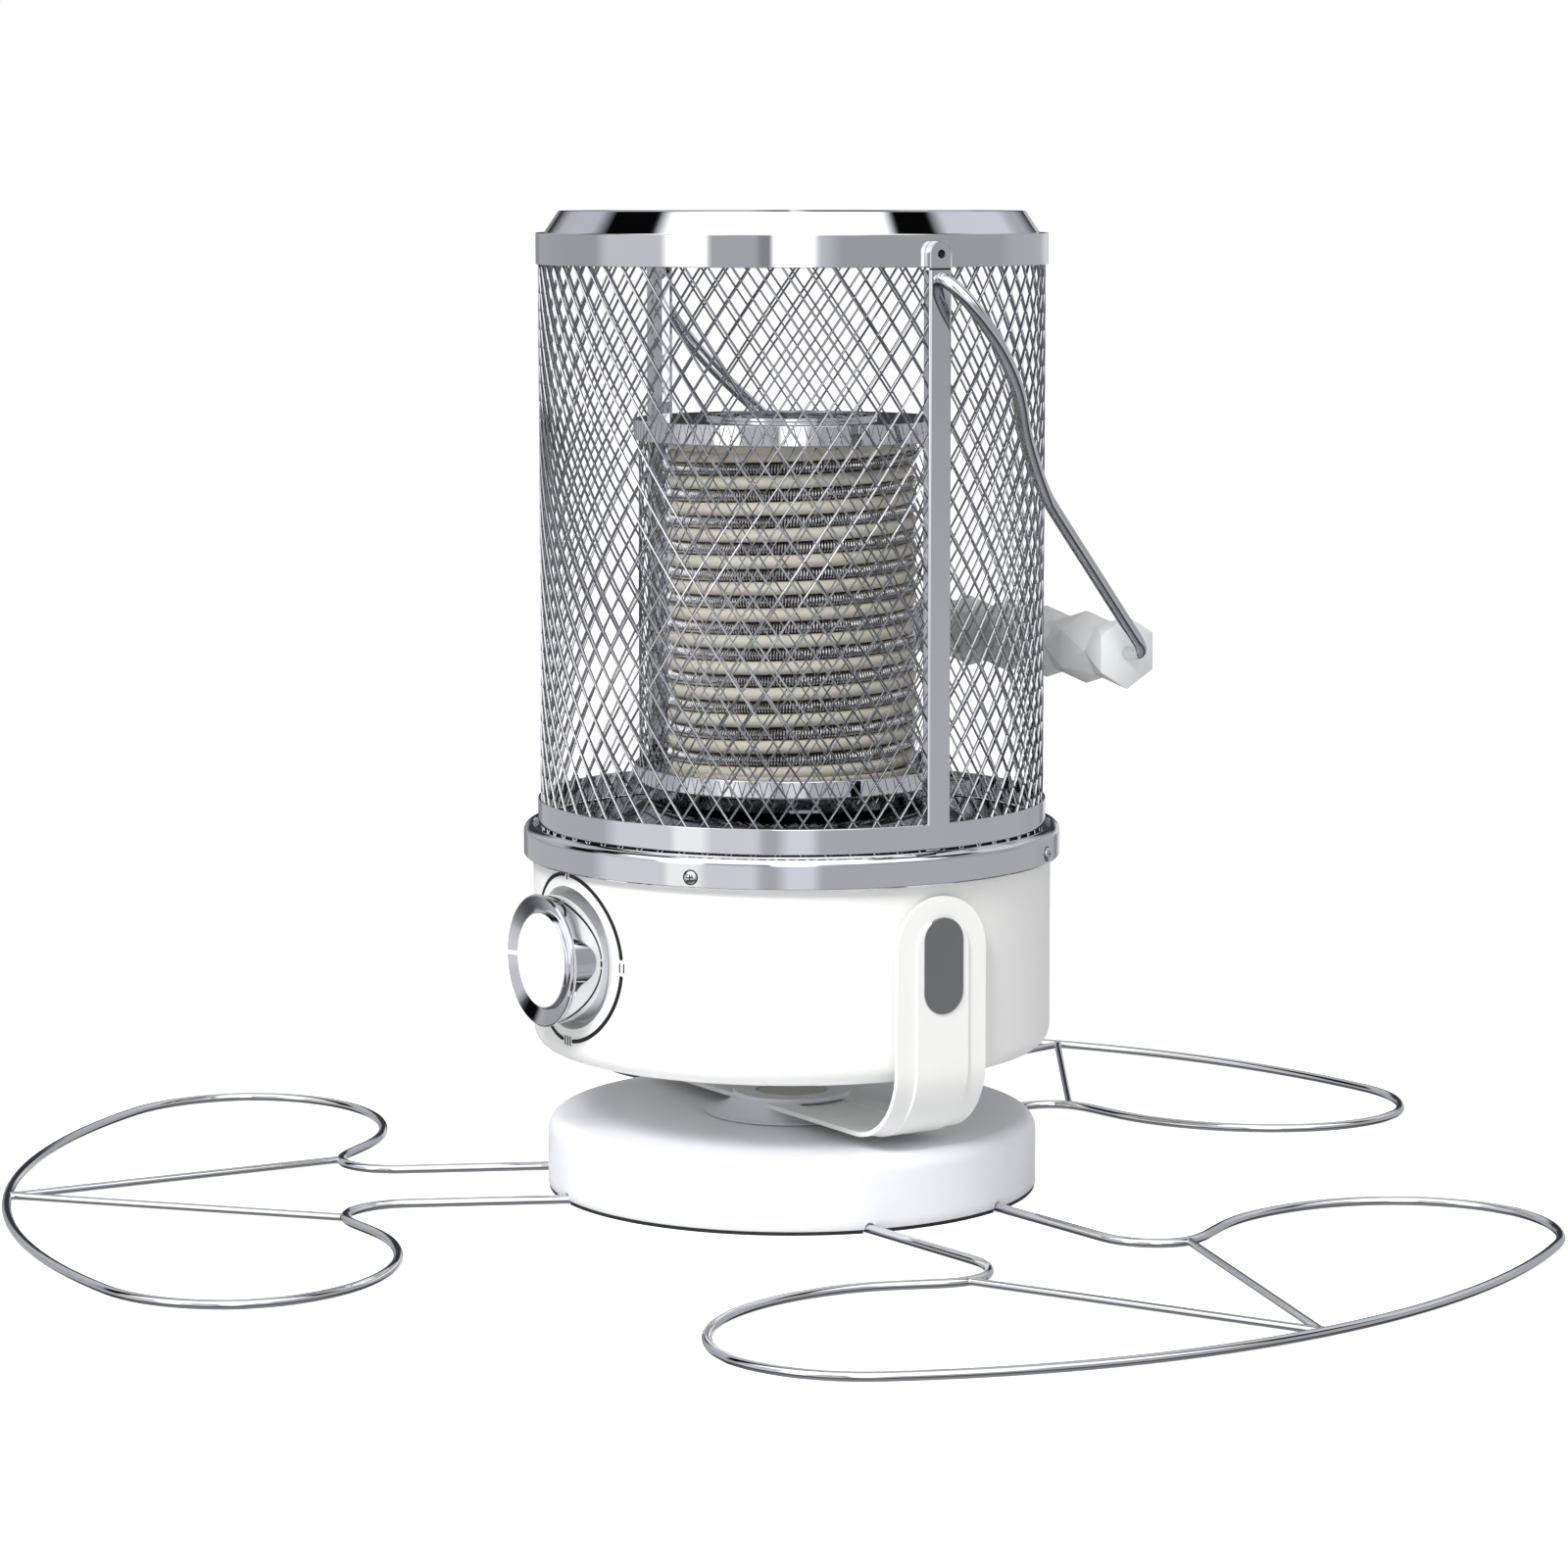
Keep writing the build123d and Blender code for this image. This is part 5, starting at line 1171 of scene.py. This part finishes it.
@dataclass
class Yoke:
    """Bent strip that carries the housing, pressed outwards along its middle, with every edge eased."""

    inner_half: float = 103.5
    floor: float = 35.6
    bend: float = 27.4
    sheet: float = 1.8
    step: float = 0.9
    half_width: float = 20.2
    panel_half: float = 11.65
    panel_wall: float = 1.2
    arm_centre: float = 107.8
    edge: float = 0.2
    bend_steps: int = 20
    tip_steps: int = 36

    def section(self, lift: float) -> list[Vector]:
        """Outline of the strip at a height above the middle of its round end.

        Args:
            lift: Height above that middle, zero or less on the straight run.

        Returns:
            Points across the strip and outwards from its inner face.
        """
        lift = max(lift, 0.0)
        half = math.sqrt(max(self.half_width ** 2 - lift ** 2, 0.0004))
        panel = math.sqrt(max(self.panel_half ** 2 - lift ** 2, 0.0004))
        channel = math.sqrt(max((self.panel_half - self.panel_wall) ** 2 - lift ** 2, 0.0001))
        raised = self.sheet + self.step * min(panel / 3, 1)
        sunk = self.step * min(channel / 3, 1)
        slope = self.step / 3
        return rounded([
            (-half, 0), (-half, self.sheet), (-panel - slope, self.sheet), (-panel, raised), (panel, raised),
            (panel + slope, self.sheet), (half, self.sheet), (half, 0), (channel, 0), (channel, sunk),
            (-channel, sunk), (-channel, 0)], self.edge, 3)

    def stations(self) -> list[tuple[Vector, Vector, float]]:
        """Places along the strip, from the tip of one arm to the tip of the other.

        Returns:
            Point on the inner face, outward direction, and height above the round end's middle.
        """
        half_run = []
        for index in range(self.tip_steps + 1):
            lift = self.half_width * math.cos(math.pi / 2 * index / self.tip_steps)
            half_run.append((Vector((self.inner_half, 0, self.arm_centre + lift)), Vector((1, 0, 0)), lift))
        centre = Vector((self.inner_half - self.bend, 0, self.floor + self.bend))
        for index in range(self.bend_steps + 1):
            turn = math.pi / 2 * index / self.bend_steps
            out = Vector((math.cos(turn), 0, -math.sin(turn)))
            half_run.append((centre + out * self.bend, out, 0.0))
        mirror = [(Vector((-point.x, 0, point.z)), Vector((-out.x, 0, out.z)), lift)
                  for point, out, lift in reversed(half_run)]
        return half_run + mirror

    def build(self) -> None:
        """Build the strip as one skin from arm tip to arm tip."""
        rows = [[point + out * spot.y + Vector((0, spot.x, 0)) for spot in self.section(lift)]
                for point, out, lift in self.stations()]
        strip = Shape()
        strip.grid(rows, False, True)
        strip.piece("yoke_bent", Slot.WHITE_ENAMEL, Body.YOKE, ("yoke",), 40.0)


@dataclass
class Feet:
    """Three petal feet of bent wire, each a loop with two braces and a weld bead at every joint."""

    count: int = 3
    first_turn: float = 4.0
    reach: float = 308.0
    wire: float = 3.5
    brace_wire: float = 2.8
    bead_radius: float = 2.3
    neck_half: float = 31.0
    neck_inner_end: float = 38.0
    notch: tuple[float, float] = (178.2, 52.5)
    crook: tuple[tuple[float, float], ...] = (
        (150.0, 31.0), (158.3, 31.4), (166.0, 34.0), (172.4, 39.0), (176.6, 45.6), (177.7, 53.2),
        (175.6, 61.5), (170.8, 71.2), (165.4, 82.4), (161.3, 95.2), (159.4, 109.2), (159.7, 123.8),
        (162.6, 138.6), (168.3, 152.6), (177.0, 165.4), (188.6, 175.8), (202.0, 182.8), (216.0, 185.8))
    lobe_centre: tuple[float, float] = (216.0, 129.81)
    lobe_radius: float = 55.99
    stops: int = 4

    def half_path(self) -> list[Vector]:
        """Half of one loop, from under the base to its outermost point.

        Returns:
            Points outwards and sideways, as X and Y.
        """
        path = [Vector((self.neck_inner_end, self.neck_half))]
        path += smooth([Vector(spot) for spot in self.crook], self.stops)
        lobe = Vector(self.lobe_centre)
        lobe_end = math.degrees(lobe.angle(Vector((1, 0))))
        for step in range(1, 13):
            turn = math.radians(90 + (lobe_end - 90) * step / 12)
            path.append(lobe + Vector((math.cos(turn), math.sin(turn))) * self.lobe_radius)
        for step in range(1, 17):
            turn = math.radians(lobe_end * (1 - step / 16))
            path.append(Vector((math.cos(turn), math.sin(turn))) * self.reach)
        return path

    def direction(self, index: int) -> float:
        """Direction of one foot, in degrees from +X."""
        return self.first_turn + 360 / self.count * index

    def build(self) -> None:
        """Build each foot and its beads as two pieces."""
        height = self.wire / 2
        half = self.half_path()
        loop = half + [Vector((point.x, -point.y)) for point in reversed(half[:-1])]
        for index, body in enumerate((Body.FOOT_1, Body.FOOT_2, Body.FOOT_3)):
            turn = Matrix.Rotation(math.radians(self.direction(index)), 3, "Z")
            foot = Shape()
            foot.tube([turn @ Vector((point.x, point.y, height)) for point in loop], self.wire / 2, 16)
            beads = Shape()
            tip = turn @ Vector((self.reach - height, 0, height))
            beads.bead(tip, self.bead_radius, 0.7)
            for side in (1, -1):
                notch = turn @ Vector((self.notch[0], side * self.notch[1], height))
                foot.tube([notch, tip], self.brace_wire / 2, 14)
                beads.bead(notch, self.bead_radius * 0.8, 0.8)
            number = str(index + 1)
            foot.piece("foot_bent_" + number, Slot.FOOT_WIRE, body, ("wire_foot_" + number,), 60.0)
            beads.piece("foot_welds_" + number, Slot.FOOT_WIRE, body)


@dataclass
class Base:
    """Pressed base cover, with a round arch over each wire of the feet."""

    feet: Feet = field(default_factory=Feet)
    radius: float = 96.65
    top: float = 29.0
    low: float = 1.4
    wall: float = 2.5
    shoulder: float = 6.5
    pivot_hole: float = 10.0
    arch_gap: float = 0.25
    arch_top: float = 5.0
    edge: float = 0.4
    steps: int = 240
    arch_steps: int = 24

    @property
    def arch_reach(self) -> float:
        """Half the width of one arch."""
        return self.feet.wire / 2 + self.arch_gap

    def arches(self) -> list[float]:
        """List the places where the wires pass under the cover.

        Returns:
            Their directions in degrees from +X.
        """
        lean = math.degrees(math.asin(self.feet.neck_half / self.radius))
        return [self.feet.direction(foot) + side * lean
                for foot in range(self.feet.count) for side in (1, -1)]

    def directions(self) -> list[float]:
        """List the directions of the cover's rows, closer together at the arches.

        Returns:
            Directions in degrees from +X, in order.
        """
        spread = math.degrees(self.arch_reach / self.radius) * 1.3
        turns = {round(360 / self.steps * step, 4) for step in range(self.steps)}
        for arch in self.arches():
            turns |= {round((arch + spread * (2 * step / self.arch_steps - 1)) % 360, 4)
                      for step in range(self.arch_steps + 1)}
        return sorted(turns)

    def edge_height(self, degrees: float) -> float:
        """Find how high the cover's lower edge is in one direction.

        Args:
            degrees: Direction from +X.

        Returns:
            Height above the floor.
        """
        height = self.low
        for arch in self.arches():
            across = self.radius * math.radians((degrees - arch + 180) % 360 - 180)
            across *= math.cos(math.asin(self.feet.neck_half / self.radius))
            if abs(across) < self.arch_reach:
                height = max(height, self.feet.wire / 2 + math.sqrt(self.arch_reach ** 2 - across ** 2))
        return height

    def build(self) -> None:
        """Build the cover row by row."""
        centre = Vector((self.radius - self.shoulder, self.top - self.shoulder))
        leans = [math.radians(9 * step) for step in range(11)]
        outwards = [Vector((math.cos(lean), math.sin(lean))) for lean in leans]
        upper = [centre + way * self.shoulder for way in outwards]
        upper += [Vector((self.pivot_hole, self.top)), Vector((self.pivot_hole, self.top - self.wall))]
        upper += [centre + way * (self.shoulder - self.wall) for way in reversed(outwards)]
        rows = []
        for degrees in self.directions():
            low = self.edge_height(degrees)
            outline = [Vector((self.radius - self.edge, low)), Vector((self.radius, low + self.edge)),
                       Vector((self.radius, self.arch_top)), Vector((self.radius, self.arch_top + 0.5))]
            outline += upper + [Vector((self.radius - self.wall, low))]
            rows.append([on_circle(point.x, degrees, point.y) for point in outline])
        cover = Shape()
        cover.grid(rows, True, True)
        cover.piece("base_cover_pressed", Slot.BASE_ENAMEL, Body.BASE, ("base_shell",), 50.0)


@dataclass
class Dial:
    """Dished well in the housing, the printed marks round it, and the bright knob with its white pointer."""

    housing_radius: float = 102.07
    height: float = 99.0
    well_radius: float = 27.8
    floor_radius: float = 24.9
    floor: float = 97.7
    bushing_radius: float = 5.05
    sheet: float = 1.2
    lip: float = 0.4
    mark_radius: float = 32.2
    mark_line: float = 1.5
    mark_lift: float = 0.2
    mark_root: float = 0.3
    bar_width: float = 0.55
    bar_length: float = 3.6
    bar_pitch: float = 1.9
    knob_back: float = 98.2
    knob_radius: float = 24.6
    knob_wall: float = 1.4
    flare_start: float = 112.2
    lip_radius: float = 25.4
    lip_front: float = 114.6
    valley_front: float = 112.7
    boss_radius: float = 18.5
    boss_front: float = 113.7
    face_radius: float = 18.0
    face_front: float = 114.1
    face_floor: float = 112.9
    pointer_width: float = 1.5
    pointer_depth: float = 0.6
    steps: int = 180

    def build(self) -> None:
        """Build each piece of the dial."""
        self.well()
        self.edge()
        self.marks()
        self.knob()
        self.pointer()

    def spot(self, radius: float, degrees: float, front: float) -> Vector:
        """Point round the dial's own axis, at a distance in front of the heater's axis."""
        turn = math.radians(degrees)
        return Vector((radius * math.cos(turn), -front, self.height + radius * math.sin(turn)))

    def wall(self, radius: float, degrees: float) -> float:
        """How far the housing's round wall stands in front of the heater's axis at a place on the dial."""
        across = radius * math.cos(math.radians(degrees))
        return math.sqrt(self.housing_radius ** 2 - across ** 2)

    def well(self) -> None:
        """Build the well, which slopes softly from the housing's wall down to its flat floor."""
        rows = []
        for step in range(self.steps):
            turn = 360 * step / self.steps
            front = self.wall(self.well_radius, turn)
            row = []
            for stop in range(9):
                share = stop / 8
                drop = share * share * (3 - 2 * share)
                radius = self.well_radius + (self.floor_radius - self.well_radius) * share
                row.append(self.spot(radius, turn, front + (self.floor - front) * drop))
            row.append(self.spot(self.bushing_radius, turn, self.floor))
            row.append(self.spot(self.bushing_radius, turn, self.floor - self.sheet))
            row.append(self.spot(self.well_radius, turn, self.floor - self.sheet))
            rows.append(row)
        well = Shape()
        well.grid(rows, True, True)
        well.piece("dial_well", Slot.DIAL_PLASTIC, Body.HEAD, ("dial_dish",))

    def edge(self) -> None:
        """Lay the eased edge along the saddle-shaped rim of the well."""
        path = [self.spot(self.well_radius, 360 * step / self.steps,
                          self.wall(self.well_radius, 360 * step / self.steps) - self.lip * 0.7)
                for step in range(self.steps)]
        ring = Shape()
        ring.tube(path, self.lip, 10, True)
        ring.piece("dial_edge", Slot.WHITE_ENAMEL, Body.HEAD)

    def stroke(self, marks: Shape, start: float, end: float) -> None:
        """Print one run of the ring, with round ends.

        Args:
            marks: Shape to add it to.
            start: Direction of its start, in degrees.
            end: Direction of its end.
        """
        half = self.mark_line / 2
        cap = math.degrees(half / self.mark_radius)
        turns = [start + cap * (1 - math.cos(math.radians(18 * step))) for step in range(5)]
        count = round((end - start) / 2)
        turns += [start + cap + (end - start - 2 * cap) * step / count for step in range(count + 1)]
        turns += [end - cap * (1 - math.cos(math.radians(18 * step))) for step in reversed(range(5))]
        rows = []
        for turn in turns:
            near = min(turn - start, end - turn, cap) / cap
            wide = half * math.sqrt(max(1 - (1 - near) ** 2, 0.0004))
            row = []
            for radius, lift in ring_section(-wide, wide, self.mark_lift, -self.mark_root):
                place = self.mark_radius + radius
                row.append(self.spot(place, turn, self.wall(place, turn) + lift))
            rows.append(row)
        marks.grid(rows, False, True)

    def marks(self) -> None:
        """Print the ring in four runs, and one, two and three bars in its gaps."""
        marks = Shape()
        for start, end in ((5.3, 87.2), (92.8, 264.4), (275.6, 354.7)):
            self.stroke(marks, start, end)
        for turn, count in ((90, 1), (0, 2), (-90, 3)):
            middle = self.spot(self.mark_radius, turn, 0)
            for index in range(count):
                x = middle.x + self.bar_pitch * (index - (count - 1) / 2)
                front = math.sqrt(self.housing_radius ** 2 - x ** 2)
                half = self.bar_width / 2
                reach = self.bar_length / 2
                outline = [Vector((x + across, -front - self.mark_lift, middle.z + end))
                           for across, end in ring_section(-half, half, -reach, reach)]
                marks.prism(outline, Vector((0, self.mark_lift * 4, 0)))
        marks.piece("dial_print", Slot.PRINT_BLACK, Body.HEAD, ("dial_marks",))

    def knob(self) -> None:
        """Turn the knob: plain round side, flared lip and a sloping bezel, with the white face set in it."""
        outer = self.knob_radius
        inner = outer - self.knob_wall
        back = self.flare_start - self.knob_wall
        lip = self.lip_radius
        boss = self.boss_radius
        place = Matrix.Translation((0, 0, self.height)) @ Matrix.Rotation(math.radians(90), 4, "X")
        turned("knob_turned", Slot.CHROME, [
            (inner, self.knob_back), (outer, self.knob_back), (outer, self.flare_start),
            (lip, self.flare_start + 1.3), (lip, self.lip_front - 0.5), (lip - 0.5, self.lip_front),
            (boss + 0.5, self.valley_front), (boss, self.valley_front + 0.3), (boss - 0.1, self.boss_front),
            (self.face_radius, self.boss_front), (self.face_radius, self.face_floor), (0, self.face_floor),
            (0, back), (inner, back)], 0.3, self.steps, "knob_body", Body.KNOB, place)
        gap = 0.02
        turned("face_moulded", Slot.KNOB_WHITE,
               ring_section(gap, self.face_radius - 0.05, self.face_floor + gap, self.face_front), 0.3,
               self.steps, "knob_face", Body.KNOB, place)

    def pointer(self) -> None:
        """Inlay the white pointer across the bezel."""
        half = self.pointer_width / 2
        near = self.boss_radius + 0.6
        far = self.lip_radius - 0.6
        rise = (self.lip_front - self.valley_front) / (far - near)
        rows = []
        for step in range(9):
            x = near + (far - near) * step / 8
            front = self.valley_front + rise * (x - near) + self.mark_lift
            sunk = front - self.pointer_depth
            rows.append([Vector((-x, -depth, self.height + across))
                         for across, depth in ring_section(-half, half, front, sunk)])
        bar = Shape()
        bar.grid(rows, False, True)
        bar.piece("pointer_inlay", Slot.KNOB_WHITE, Body.KNOB, ("knob_pointer",))


@dataclass
class Bail:
    """Bent wire of the bail, from its head in one post to its head in the other, and its run in the grip."""

    wire: float = 5.3
    pivot_height: float = 359.3
    reach: float = 186.995
    out: float = 113.65
    head_radius: float = 3.3
    head_back: float = 100.5
    head_front: float = 102.1
    arm_half: float = 80.5
    corner: float = 8.0
    curve: tuple[tuple[float, float], ...] = (
        (104.0, 0.0), (106.6, 1.1), (109.6, 4.2), (112.4, 10.0), (114.0, 17.5), (114.5, 26.0),
        (113.6, 34.5), (111.4, 43.0), (107.8, 52.0), (102.8, 60.8), (97.4, 69.0), (93.0, 76.6),
        (89.9, 83.0), (87.4, 88.6), (85.0, 94.4), (82.6, 101.0), (80.9, 107.5), (80.5, 114.0))
    stops: int = 5

    def spot(self, across: float, reach: float) -> Vector:
        """Point of the resting bail, from its place across and its distance from the pivots."""
        lean = self.out / self.reach
        return Vector((across, reach * lean, self.pivot_height - reach * math.sqrt(1 - lean ** 2)))

    def half_path(self) -> list[Vector]:
        """Smooth path of one half, from the head to the middle of the grip.

        Returns:
            Points across and down the bail's own plane, as X and Y.
        """
        path = [Vector((self.head_back + 0.2, 0.0))]
        path += smooth([Vector(point) for point in self.curve], self.stops)
        for step in range(9):
            turn = math.radians(90 / 8 * step)
            path.append(Vector((self.arm_half - self.corner * (1 - math.cos(turn)),
                                self.reach - self.corner * (1 - math.sin(turn)))))
        return path

    def build(self) -> None:
        """Build the wire and its two flat heads."""
        half = self.half_path()
        whole = half + [Vector((-point.x, point.y)) for point in reversed(half)]
        bail = Shape()
        bail.tube([self.spot(point.x, point.y) for point in whole], self.wire / 2, 20)
        place = Matrix.Translation((0, 0, self.pivot_height)) @ Matrix.Rotation(math.radians(90), 4, "Y")
        for side in (1, -1):
            head = ring_section(0.1, self.head_radius, side * self.head_back, side * self.head_front)
            bail.lathe(rounded(head, 0.3), 32, place)
        bail.piece("bail_bent", Slot.CHROME, Body.BAIL, ("bail",), 50.0)


@dataclass
class Grip:
    """Faceted grip on the bail, thick and thin by turns, with its corners broken."""

    bail: Bail = field(default_factory=Bail)
    half_length: float = 68.0
    lump: float = 14.65
    waist: float = 11.2
    sides: int = 6
    segments: int = 10
    broken_corner: float = 0.2

    def build(self) -> None:
        """Build the facets, then bevel every edge."""
        middle = self.bail.spot(0, self.bail.reach)
        grip = Shape()
        rings = []
        for index in range(self.segments + 1):
            thick = index % 2 == 0
            radius = self.lump if thick else self.waist
            x = -self.half_length + 2 * self.half_length / self.segments * index
            twist = 90 if thick else 90 + 180 / self.sides
            ring = []
            for corner in range(self.sides):
                flat = on_circle(radius, twist + 360 / self.sides * corner, 0)
                ring.append(len(grip.points))
                grip.points.append(middle + Vector((x, flat.x, flat.y)))
            rings.append(ring)
        grip.faces.append(tuple(rings[0]))
        grip.faces.append(tuple(rings[-1]))
        for index in range(self.segments):
            pair = rings[index:index + 2]
            near, far = pair if index % 2 == 0 else reversed(pair)
            for corner in range(self.sides):
                following = (corner + 1) % self.sides
                grip.faces.append((near[corner], near[following], far[corner]))
                grip.faces.append((far[corner], far[following], near[following]))
        body = grip.piece("grip_faceted", Slot.GRIP_PLASTIC, Body.GRIP, ("grip",), 12.0)
        shaped = bmesh.new()
        shaped.from_mesh(body.data)
        bmesh.ops.bevel(shaped, geom=list(shaped.edges), offset=self.broken_corner * MM, segments=2,
                        profile=0.5, affect="EDGES", clamp_overlap=True)
        shaped.to_mesh(body.data)
        shaped.free()
        body.data.shade_smooth()
        body.data.set_sharp_from_angle(angle=math.radians(50))


def dress_frame(nodes: dict[str, bpy.types.Object]) -> None:
    """Give every CAD node the finish of its own slot.

    Args:
        nodes: CAD nodes by name.
    """
    for name, node in nodes.items():
        for holder in node.material_slots:
            slot = Slot(holder.material.name.split(".")[0])
            holder.material = FINISHES[slot].material()
        log.info("%s: dressed", name)


def corners(bounds: tuple) -> list[list[float]]:
    """Turn a pair of corner points to plain lists of numbers."""
    return [[float(value) for value in corner] for corner in bounds]


def main() -> None:
    """Load the frame, dress it and build the pieces that stand for its plain nodes."""
    logging.basicConfig(level=logging.INFO, format="%(name)s: %(message)s")
    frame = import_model()
    dress_frame(frame["nodes"])
    for part in (Studio(), Base(), Feet(), Yoke(), Dial(), Guard(), Core(), Bail(), Grip()):
        part.build()
        log.info("%s built", type(part).__name__)


if __name__ == "__main__":
    main()
